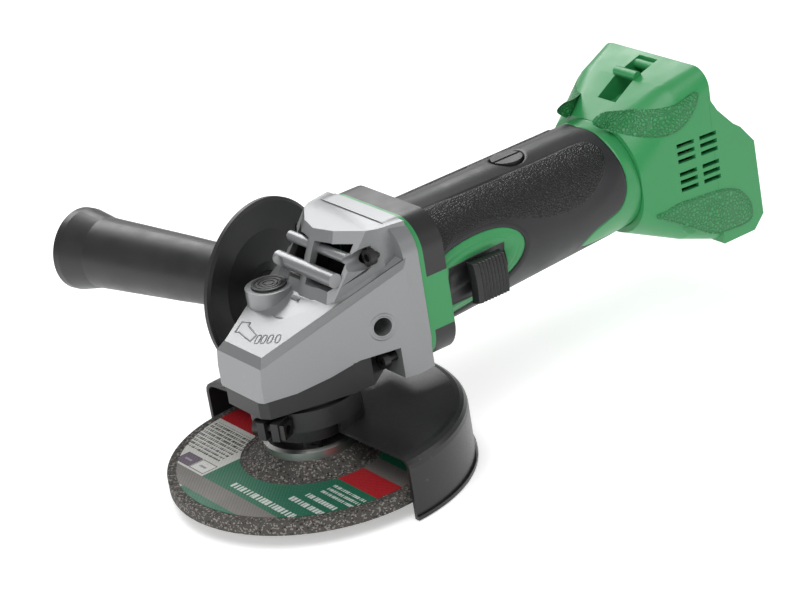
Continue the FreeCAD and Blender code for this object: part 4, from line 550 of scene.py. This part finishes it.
def label_finish():
    """Printed paper disc over woven mesh: straight bands across the disc, blank boxes, and rows of blank bars."""
    made = Finish("label_paper", LABEL_GREEN, 0.50, scale=1500.0, depth=0.02, spread=0.10)
    work = made.work
    axes = work.spread(work.place())
    x, y = work.maths("DIVIDE", axes["X"], MM), work.maths("DIVIDE", axes["Y"], MM)

    def between(value, low, high, soft=0.12):
        return work.maths("MULTIPLY", work.ramp(value, low - soft, low + soft),
                          work.ramp(value, high + soft, high - soft))

    def print_area(xs, ys, ink):
        area = work.maths("MULTIPLY", between(x, *xs), between(y, *ys))
        made.colour = work.mixed(area, made.colour, ink)
        return area

    def print_bars(xs, ys, cell, full, ink):
        """A row along Y, or several rows of one pitch, cut into bars of uneven length."""
        steps = work.maths("DIVIDE", y, cell)
        rows = work.maths("DIVIDE", work.maths("SUBTRACT", x, xs[0]), full)
        seed = work.add("CombineXYZ", {0: work.maths("FLOOR", steps), 1: work.maths("FLOOR", rows)}).outputs[0]
        chance = work.add("TexWhiteNoise", {"Vector": seed}, noise_dimensions="3D").outputs["Value"]
        bar = work.maths("LESS_THAN", work.maths("FRACT", steps),
                         work.maths("ADD", work.maths("MULTIPLY", chance, 0.55), 0.35))
        tall = work.maths("LESS_THAN", work.maths("FRACT", rows), 0.55)
        area = work.maths("MULTIPLY", between(x, *xs), between(y, *ys))
        mask = work.maths("MULTIPLY", area, work.maths("MULTIPLY", bar, tall))
        made.colour = work.mixed(mask, made.colour, ink)

    across = (-70.0, 70.0)
    print_area((2.6, 12.0), across, BARE_GREY)
    print_area((-44.8, -9.6), (18.6, 70.0), PAPER)
    print_area((-70.0, -54.6), (18.6, 70.0), PAPER)
    print_area((-54.4, -44.8), across, BARE_GREY)
    print_area((-9.6, 2.6), across, LABEL_RED)
    for ys, fill in (((20.0, 30.6), (0.56, 0.56, 0.54)), ((31.0, 42.0), (0.10, 0.07, 0.11))):
        print_area((-43.6, -35.8), ys, INK)
        print_area((-43.2, -36.2), (ys[0] + 0.4, ys[1] - 0.4), fill)
        print_area((-40.4, -39.2), (ys[0] + 3.0, ys[1] - 3.0), (0.25, 0.24, 0.26))
    print_bars((-33.0, -12.0), (24.0, 55.0), 1.5, 2.3, INK)
    print_bars((-42.0, -38.6), (-42.5, 2.0), 2.3, 6.2, PALE_INK)
    print_bars((-33.0, -30.0), (-50.0, -28.0), 2.1, 5.4, PALE_INK)
    print_bars((-27.0, -24.4), (-52.0, -31.0), 1.9, 4.8, PALE_INK)
    print_bars((-21.0, -13.0), (-56.0, -34.0), 1.4, 3.0, PALE_INK)
    # woven reinforcement showing through: two crossed sets of threads
    pitch = 2 * math.pi / 1.9
    weave = work.maths("MULTIPLY", work.maths("SINE", work.maths("MULTIPLY", x, pitch)),
                       work.maths("SINE", work.maths("MULTIPLY", y, pitch)))
    made.raise_by(weave, 0.05, made.normal)
    # scuffs and grit where the print has rubbed away
    grit = work.ramp(work.noise(1400.0, 3.0, 0.7), 0.58, 0.68, 0.0, 0.45)
    made.colour = work.mixed(grit, made.colour, (0.07, 0.065, 0.06))
    return made.settle()


def pad_finish():
    """Green plastic with the coarse leather grain of the tail's grip pads, the channels between its cells painted
    darker as shade.
    """
    made = Finish("green_grained", GREEN, 0.38, scale=2600.0, depth=0.02, spread=0.06)
    grain = made.work.group(LEATHER, {"Scale": 620.0})
    made.raise_by(grain["Height"], 0.35, made.normal)
    # painted shade: darker green in the grain's channels, base green on the raised cells
    made.colour = made.work.mixed(made.work.ramp(grain["Height"], 0.0, 0.6), (0.018, 0.17, 0.05), made.colour)
    return made.settle()


green_grained = pad_finish()
soft_grip = grip_finish()
green_shell_painted_slot = painted_slot_finish()
housing_two_tone = flange_finish()
abrasive = wheel_finish()
label_paper = label_finish()

FINISHES = {"abrasive": abrasive, "label_paper": label_paper, "plated_steel": plated_steel,
            "dark_steel": dark_steel, "case_paint": case_paint, "black_cast": black_cast,
            "black_plastic": black_plastic, "soft_grip": soft_grip, "green_plastic": green_plastic,
            "copper": copper, "brass": brass, "lamination": lamination, "ferrite": ferrite,
            "carbon": carbon, "board": board}
SPECIAL = {"guard": guard_coat, "motor_housing": housing_two_tone, "grip_skin": black_plastic}


def dress_frame():
    """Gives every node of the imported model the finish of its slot."""
    for name, node in NODES.items():
        node.data.materials.clear()
        node.data.materials.append(SPECIAL.get(name, FINISHES[SLOT_OF[name]]))


# ---------------------------------------------------------------- barrel skins

def degrees_round(points):
    """Outline points (x, degrees down from the top) as (x, length round the barrel)."""
    p = np.asarray(points, float)
    return np.column_stack([p[:, 0], np.radians(p[:, 1]) * GIRTH])


SWITCH_RECESS = degrees_round([(52, 78), (59, 68), (69, 62.5), (82, 61), (93, 65), (100, 75),
                               (102, 88), (98.5, 103), (90.5, 116), (79, 127), (68, 133), (52, 134)])
GREEN_REAR = degrees_round([(161.0, -20), (160.5, 20), (160.5, 60), (159.8, 76), (157.6, 92), (153.8, 103),
                            (147, 109), (140.5, 115), (136.3, 125), (136.5, 131), (141, 136), (154, 143),
                            (180, 156), (200, 120), (200, -20)])
PANEL = degrees_round([(60, 21), (90, 20.5), (125, 22), (148, 22), (154, 27), (155.5, 40), (152, 56),
                       (144, 70), (136, 77), (126, 79), (116, 75), (104, 66), (92, 58), (78, 56),
                       (68, 58), (62, 62), (60, 45)])
TRACK = (62.0, 92.0, 78.5, 121.0)     # x from and to, then degrees down from the top


def barrel_surface(x, down, lift):
    """The oval barrel: half-width, half-height and centre change evenly along x, and a point at an angle down
    from the top stands out from the oval by lift along its own normal."""
    share = (x - BARREL_START) / (BARREL_END - BARREL_START)
    half = BARREL_HALF + (TAIL_HALF - BARREL_HALF) * share
    tall = BARREL_TALL + (TAIL_TALL - BARREL_TALL) * share
    height = BARREL_HEIGHT + (TAIL_HEIGHT - BARREL_HEIGHT) * share
    ny, nz = np.sin(down) / half, np.cos(down) / tall
    size = np.hypot(ny, nz)
    return np.stack([x, -half * np.sin(down) - lift * ny / size,
                     height + tall * np.cos(down) + lift * nz / size], -1)


def barrel_fields(x, down):
    """Distances, in millimetres on the barrel, to the switch recess, the green rear and the grained panel,
    and to the rim of the brush cap holes. The recess is on one side only, the rest on both."""
    turn = (down + np.pi) % (2 * np.pi) - np.pi
    both = np.abs(turn) * GIRTH
    recess = distance_to(flowing(SWITCH_RECESS, 6), x, np.where(turn > 0, turn, -9.0) * GIRTH)
    rear = distance_to(flowing(GREEN_REAR, 5), x, both)
    panel = distance_to(flowing(PANEL, 6), x, both)
    at_cap = np.minimum(np.abs(turn), np.pi - np.abs(turn)) * BARREL_TALL * 1.06
    cap = np.hypot(x - CAP_X, at_cap) - CAP_RADIUS
    return recess, rear, panel, cap


def barrel_grid(rows, cols, start, end):
    """Rows along the barrel, columns once round it."""
    x = np.linspace(start, end, rows)[:, None] + np.zeros((1, cols))
    down = np.linspace(0, 2 * np.pi, cols, endpoint=False)[None, :] + np.zeros((rows, 1))
    return x, down


def make_grip():
    """The black skin: level with the barrel, rounded down at its borders, sunk out of sight past them, with a
    groove round the grained panel and a swollen lip behind it."""
    x, down = barrel_grid(236, 330, FLANGE_BACK + 0.15, BARREL_END - 0.1)
    recess, rear, panel, cap = barrel_fields(x, down)
    edge = np.minimum(recess, rear)
    border = -0.55 * (1 - smooth(edge, 0.0, 1.6)) - 5.0 * (1 - smooth(edge, -1.5, 0.0))
    groove = -0.55 * np.exp(-((panel - 0.1) / 0.55) ** 2)
    dip = -0.45 * smooth(panel, 0.0, 1.2) * (1 - smooth(panel, 1.5, 9.0))
    seam = -0.35 * np.exp(-((np.abs((down + np.pi) % (2 * np.pi) - np.pi) * GIRTH - 10.4) / 0.35) ** 2)
    seam *= smooth(x, 59.0, 62.0) * (1 - smooth(x, 104.0, 110.0))
    hole = -5.0 * (1 - smooth(cap, 0.1, 0.7)) - 0.25 * (1 - smooth(cap, 0.7, 1.8))
    ends = -1.2 * (1 - smooth(x, FLANGE_BACK + 0.15, FLANGE_BACK + 0.9))
    lift = border + groove + dip + seam + hole + ends
    mesh = grid_mesh("grip", barrel_surface(x, down, lift), wrap=True, flip=False, panel=panel)
    return piece("grip", mesh, "housing_body", "soft_grip", soft_grip, stands_for=("grip_skin",))


def make_shell():
    """The green shell under the skin: level with it behind, and scooped out round the switch."""
    x, down = barrel_grid(236, 330, FLANGE_BACK - 0.2, BARREL_END + 0.1)
    recess, rear, _, cap = barrel_fields(x, down)
    hidden = -2.2 * smooth(rear, 0.0, 1.4) - 0.25
    band = -1.1 - 0.35 * np.exp(-((recess + 3.6) / 0.5) ** 2)
    scoop = -2.4 * (1 - smooth(recess, -13.0, -3.8))
    inside = 1 - smooth(recess, -0.3, 0.6)
    lift = hidden * (1 - inside) + (band + scoop) * inside
    lift = lift - 6.0 * (1 - smooth(cap, 0.4, 1.0))
    turn = np.degrees((down + np.pi) % (2 * np.pi) - np.pi)
    track = np.maximum(np.maximum(TRACK[0] - x, x - TRACK[1]),
                       np.maximum(TRACK[2] - turn, turn - TRACK[3]) * math.radians(GIRTH))
    lift = lift - 0.5 * (1 - smooth(track, -0.4, 0.2))
    # track also marks where the shell's finish paints the slider plate and the shade of its slot near-black
    mesh = grid_mesh("shell", barrel_surface(x, down, lift), wrap=True, track=track)
    return piece("shell", mesh, "housing_body", "green_plastic", green_shell_painted_slot)


def make_knob():
    """The slide knob: a ribbed pad whose ridges are a triangle wave along x, crowned across, with sides that
    drop to the track."""
    low, high = (np.array(c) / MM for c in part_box("switch_knob"))
    u = np.linspace(0, 1, 150)[:, None]
    v = np.linspace(0, 1, 60)[None, :]
    x = low[0] + (high[0] - low[0]) * u + 0 * v
    z = low[2] + (high[2] - low[2]) * v + 0 * u
    inset = np.minimum(np.minimum(x - low[0], high[0] - x), np.minimum(z - low[2], high[2] - z))
    wave = np.abs((((x - low[0]) / 1.72) % 1.0) - 0.5) * 2
    ribs = -0.75 * wave * smooth(x, low[0] + 2.0, low[0] + 2.6)
    crown = -1.1 * ((z - (low[2] + high[2]) / 2) / 9.5) ** 2
    slope = -1.0 * (1 - smooth(x, low[0], low[0] + 3.0))
    y = low[1] - (ribs + crown + slope - 6.5 * (1 - smooth(inset, -0.6, 0.7)))
    mesh = grid_mesh("knob", np.stack([x, y, z], -1), flip=True)
    knob = piece("knob", mesh, "switch_body", "black_plastic", black_plastic, stands_for=("switch_knob",))
    wall = knob.modifiers.new("wall", "SOLIDIFY")
    wall.thickness = 0.8 * MM
    wall.offset = -1.0
    return knob


# ---------------------------------------------------------------- case, tail and small pieces

def on_roof(points, sink=0.0):
    """Points (x, y) laid on the case's sloping roof plane."""
    p = np.asarray(points, float)
    return np.column_stack([p, ROOF_FRONT_HEIGHT + ROOF_RISE * (p[:, 0] - ROOF_FRONT) - sink])


def make_case():
    """The gear case with its planed roof edges and rounded casting edges, and the turning mark on its roof."""
    def roof_side(edge, first, second):
        up, side = (first, second) if first.z > second.z else (second, first)
        middle = (edge.verts[0].co + edge.verts[1].co) / (2 * MM)
        return up.z > 0.75 and abs(side.y) > 0.7 and edge.calc_length() > 6 * MM and middle.x < 22 \
            and abs(middle.y) > 12 and middle.z < 84

    def weigh(edge, middle):
        if middle.z > 76.0 and middle.x < 22.0:
            return 0.25
        return 1.0 if edge.calc_length() > 8 * MM else 0.3

    case = finished_copy("gear_case", "case_casting", 0.9, case_paint, weigh, chamfer=(3.4, roof_side))
    head = [(-17.0, 0.6), (-16.0, 4.8), (-14.9, 9.3), (-13.4, 9.9), (-14.6, 14.6), (-19.6, 12.8), (-19.0, 10.4),
            (-19.9, 5.2), (-20.5, 0.5)]
    beads = [tube_along("roof_arrow", on_roof(flowing(head, 1)), 0.36, closed=True)]
    for i, (near, far) in enumerate((((-16.8, -1.5), (-19.9, -3.3)), ((-15.8, -4.3), (-18.8, -6.2)),
                                     ((-14.6, -7.4), (-17.6, -9.2)), ((-13.2, -10.8), (-16.0, -12.9)))):
        near, far = np.array(near), np.array(far)
        wide = np.array([0.45, -0.75])
        loop = flowing([near + wide, near - wide, far - wide, far + wide], 5)
        beads.append(tube_along("roof_bar_%d" % i, on_roof(loop), 0.28, closed=True))
    for mesh in beads:
        piece(mesh.name, mesh, "housing_body", "case_paint", case_paint)
    for side in (-1, 1):
        axis = np.array([-0.2504, 0.9681 * side, 0.0])
        foot = np.array([24.5, 29.8 * side, 60.3]) - 0.6 * axis
        rim = [(4.3, -0.8), (4.3, 0.45), (4.6, 0.75), (6.0, 0.75), (6.35, 0.35), (6.5, -0.8)]
        piece("boss_rim_%d" % (side + 1), lathe("boss_rim_%d" % (side + 1), rim, foot, axis), "housing_body",
              "case_paint", case_paint)
    return case


TAIL_ROWS = np.array([(166.2, 30.2, 95.0, 22.0), (188.0, 33.9, 108.0, 13.0), (205.0, 35.5, 113.0, 9.0),
                      (230.0, 35.5, 113.0, 9.0)])   # place along X, half-width, top, corner


def tail_side(x, z):
    """How far out the tail's side stands: flat up to the corner, then a quarter circle over it. Half-width, top
    and corner change evenly between the rows."""
    half, top, turn = (np.interp(x, TAIL_ROWS[:, 0], TAIL_ROWS[:, k]) for k in (1, 2, 3))
    over = np.clip(z - (top - turn), 0.0, turn * 0.98)
    return half - turn + np.sqrt(turn ** 2 - over ** 2)


def tail_pad(name, outline, side):
    """A grained pad on the tail's side: straight spokes from its middle to its outline, low at the rim."""
    edge = flowing(outline, 12)
    middle = edge.mean(0)
    out = np.linspace(0.001, 1.0, 30)[:, None, None]
    spot = middle + out * (edge - middle)[None]
    x, z = spot[..., 0], spot[..., 1]
    lift = 0.5 - 1.1 * smooth(out[..., 0], 0.93, 1.0) - 0.25 * np.exp(-((out[..., 0] - 0.9) / 0.02) ** 2)
    points = np.stack([x, side * (tail_side(x, z) + lift), z], -1)
    mesh = grid_mesh(name, points, wrap=True, flip=side < 0)
    piece(name, mesh, "housing_body", "green_plastic", green_grained)


LEAF_PAD = [(158.0, 99.0), (163.0, 102.0), (174.0, 100.8), (187.0, 101.6), (198.6, 105.0), (199.4, 101.5),
            (194.7, 94.8), (187.9, 90.6), (180.0, 89.5), (167.5, 92.0)]
FOOT_PAD = [(172.0, 54.5), (181.0, 58.0), (193.0, 57.9), (207.0, 56.8), (216.5, 52.7), (222.0, 45.5),
            (222.8, 38.5), (219.5, 35.6), (208.0, 35.8), (198.0, 37.4), (187.0, 44.5), (176.0, 51.2)]


def make_tail():
    """Both tail covers with rounded moulding edges, and the grained pads on their sides."""
    for node, name in (("tail_cover_left", "tail_left"), ("tail_cover_right", "tail_right")):
        finished_copy(node, name, 1.3, green_plastic, by_length(9.0, 0.2))
    for side, word in ((-1, "left"), (1, "right")):
        tail_pad("leaf_pad_" + word, LEAF_PAD, side)
        tail_pad("foot_pad_" + word, FOOT_PAD, side)


def make_flange():
    """The motor housing's flange and its room for the fan; the shell and skin cover the barrel behind it."""
    finished_copy("motor_housing", "housing_flange", 0.9, housing_two_tone, by_length(8.0, 0.3),
                  cut_past=FLANGE_BACK + 1.0)


dress_frame()
make_grip()
make_shell()
make_knob()
make_case()
make_tail()
make_flange()

# ---------------------------------------------------------------- floor, light and camera


def plain(name, colour, roughness):
    """A plain matt material for what isn't part of the object."""
    made = bpy.data.materials.new(name)
    made.use_nodes = True
    shader = made.node_tree.nodes["Principled BSDF"]
    shader.inputs["Base Color"].default_value = (*colour, 1.0)
    shader.inputs["Roughness"].default_value = roughness
    return made


def add_floor():
    """A wide pale floor just under the guard's foot."""
    half = 6.0
    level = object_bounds()[0].z - 0.0005
    mesh = bpy.data.meshes.new("floor")
    mesh.from_pydata([(-half, -half, level), (half, -half, level), (half, half, level), (-half, half, level)],
                     [], [(0, 1, 2, 3)])
    paper = plain("floor_paper", (0.93, 0.93, 0.93), 0.9)
    glow = paper.node_tree.nodes["Principled BSDF"].inputs
    glow["Emission Color"].default_value = (1.0, 1.0, 1.0, 1.0)
    glow["Emission Strength"].default_value = 0.38
    mesh.materials.append(paper)
    floor = bpy.data.objects.new("floor", mesh)
    bpy.context.scene.collection.objects.link(floor)


def add_light(name, place, target, size, power):
    """A square soft box aimed at the target."""
    light = bpy.data.lights.new(name, "AREA")
    light.shape = "RECTANGLE"
    light.size, light.size_y = size
    light.energy = power
    lamp = bpy.data.objects.new(name, light)
    lamp.location = place
    lamp.rotation_mode = "QUATERNION"
    lamp.rotation_quaternion = (Vector(target) - Vector(place)).to_track_quat("-Z", "Y")
    bpy.context.scene.collection.objects.link(lamp)


def add_lights():
    """Soft boxes overhead, left, right and behind, with an even pale sky."""
    middle = (0.08, 0.0, 0.05)
    add_light("key_overhead", (-0.25, -0.35, 1.10), middle, (0.8, 0.8), 6.5)
    add_light("left_front", (-1.15, -0.35, 0.45), middle, (0.6, 0.9), 4.0)
    add_light("rim_back", (0.35, 0.95, 0.75), middle, (0.9, 0.4), 7.0)
    add_light("right_low", (0.95, -0.75, 0.35), middle, (0.5, 0.6), 1.6)
    world = bpy.data.worlds.new("studio")
    world.use_nodes = True
    sky = world.node_tree.nodes["Background"]
    sky.inputs["Color"].default_value = (1.0, 1.0, 1.0, 1.0)
    sky.inputs["Strength"].default_value = 0.38
    bpy.context.scene.world = world


def add_camera():
    """The camera stands high at the wheel's front left and looks down along the barrel."""
    camera = bpy.data.cameras.new("camera")
    camera.sensor_width = 36.0
    camera.lens = 130.9
    camera.clip_start, camera.clip_end = 0.05, 30.0
    right, up = Vector((0.79251, -0.59147, -0.14861)), Vector((0.35425, 0.24811, 0.90163))
    back = Vector((-0.49642, -0.76720, 0.40616))
    turned = Matrix((right, up, back)).transposed()
    eye = bpy.data.objects.new("camera", camera)
    eye.matrix_world = Matrix.Translation((-0.55347, -0.93895, 0.54973)) @ turned.to_4x4()
    bpy.context.scene.collection.objects.link(eye)
    bpy.context.scene.camera = eye


add_floor()
add_lights()
add_camera()
bpy.context.scene.view_settings.view_transform = "Standard"
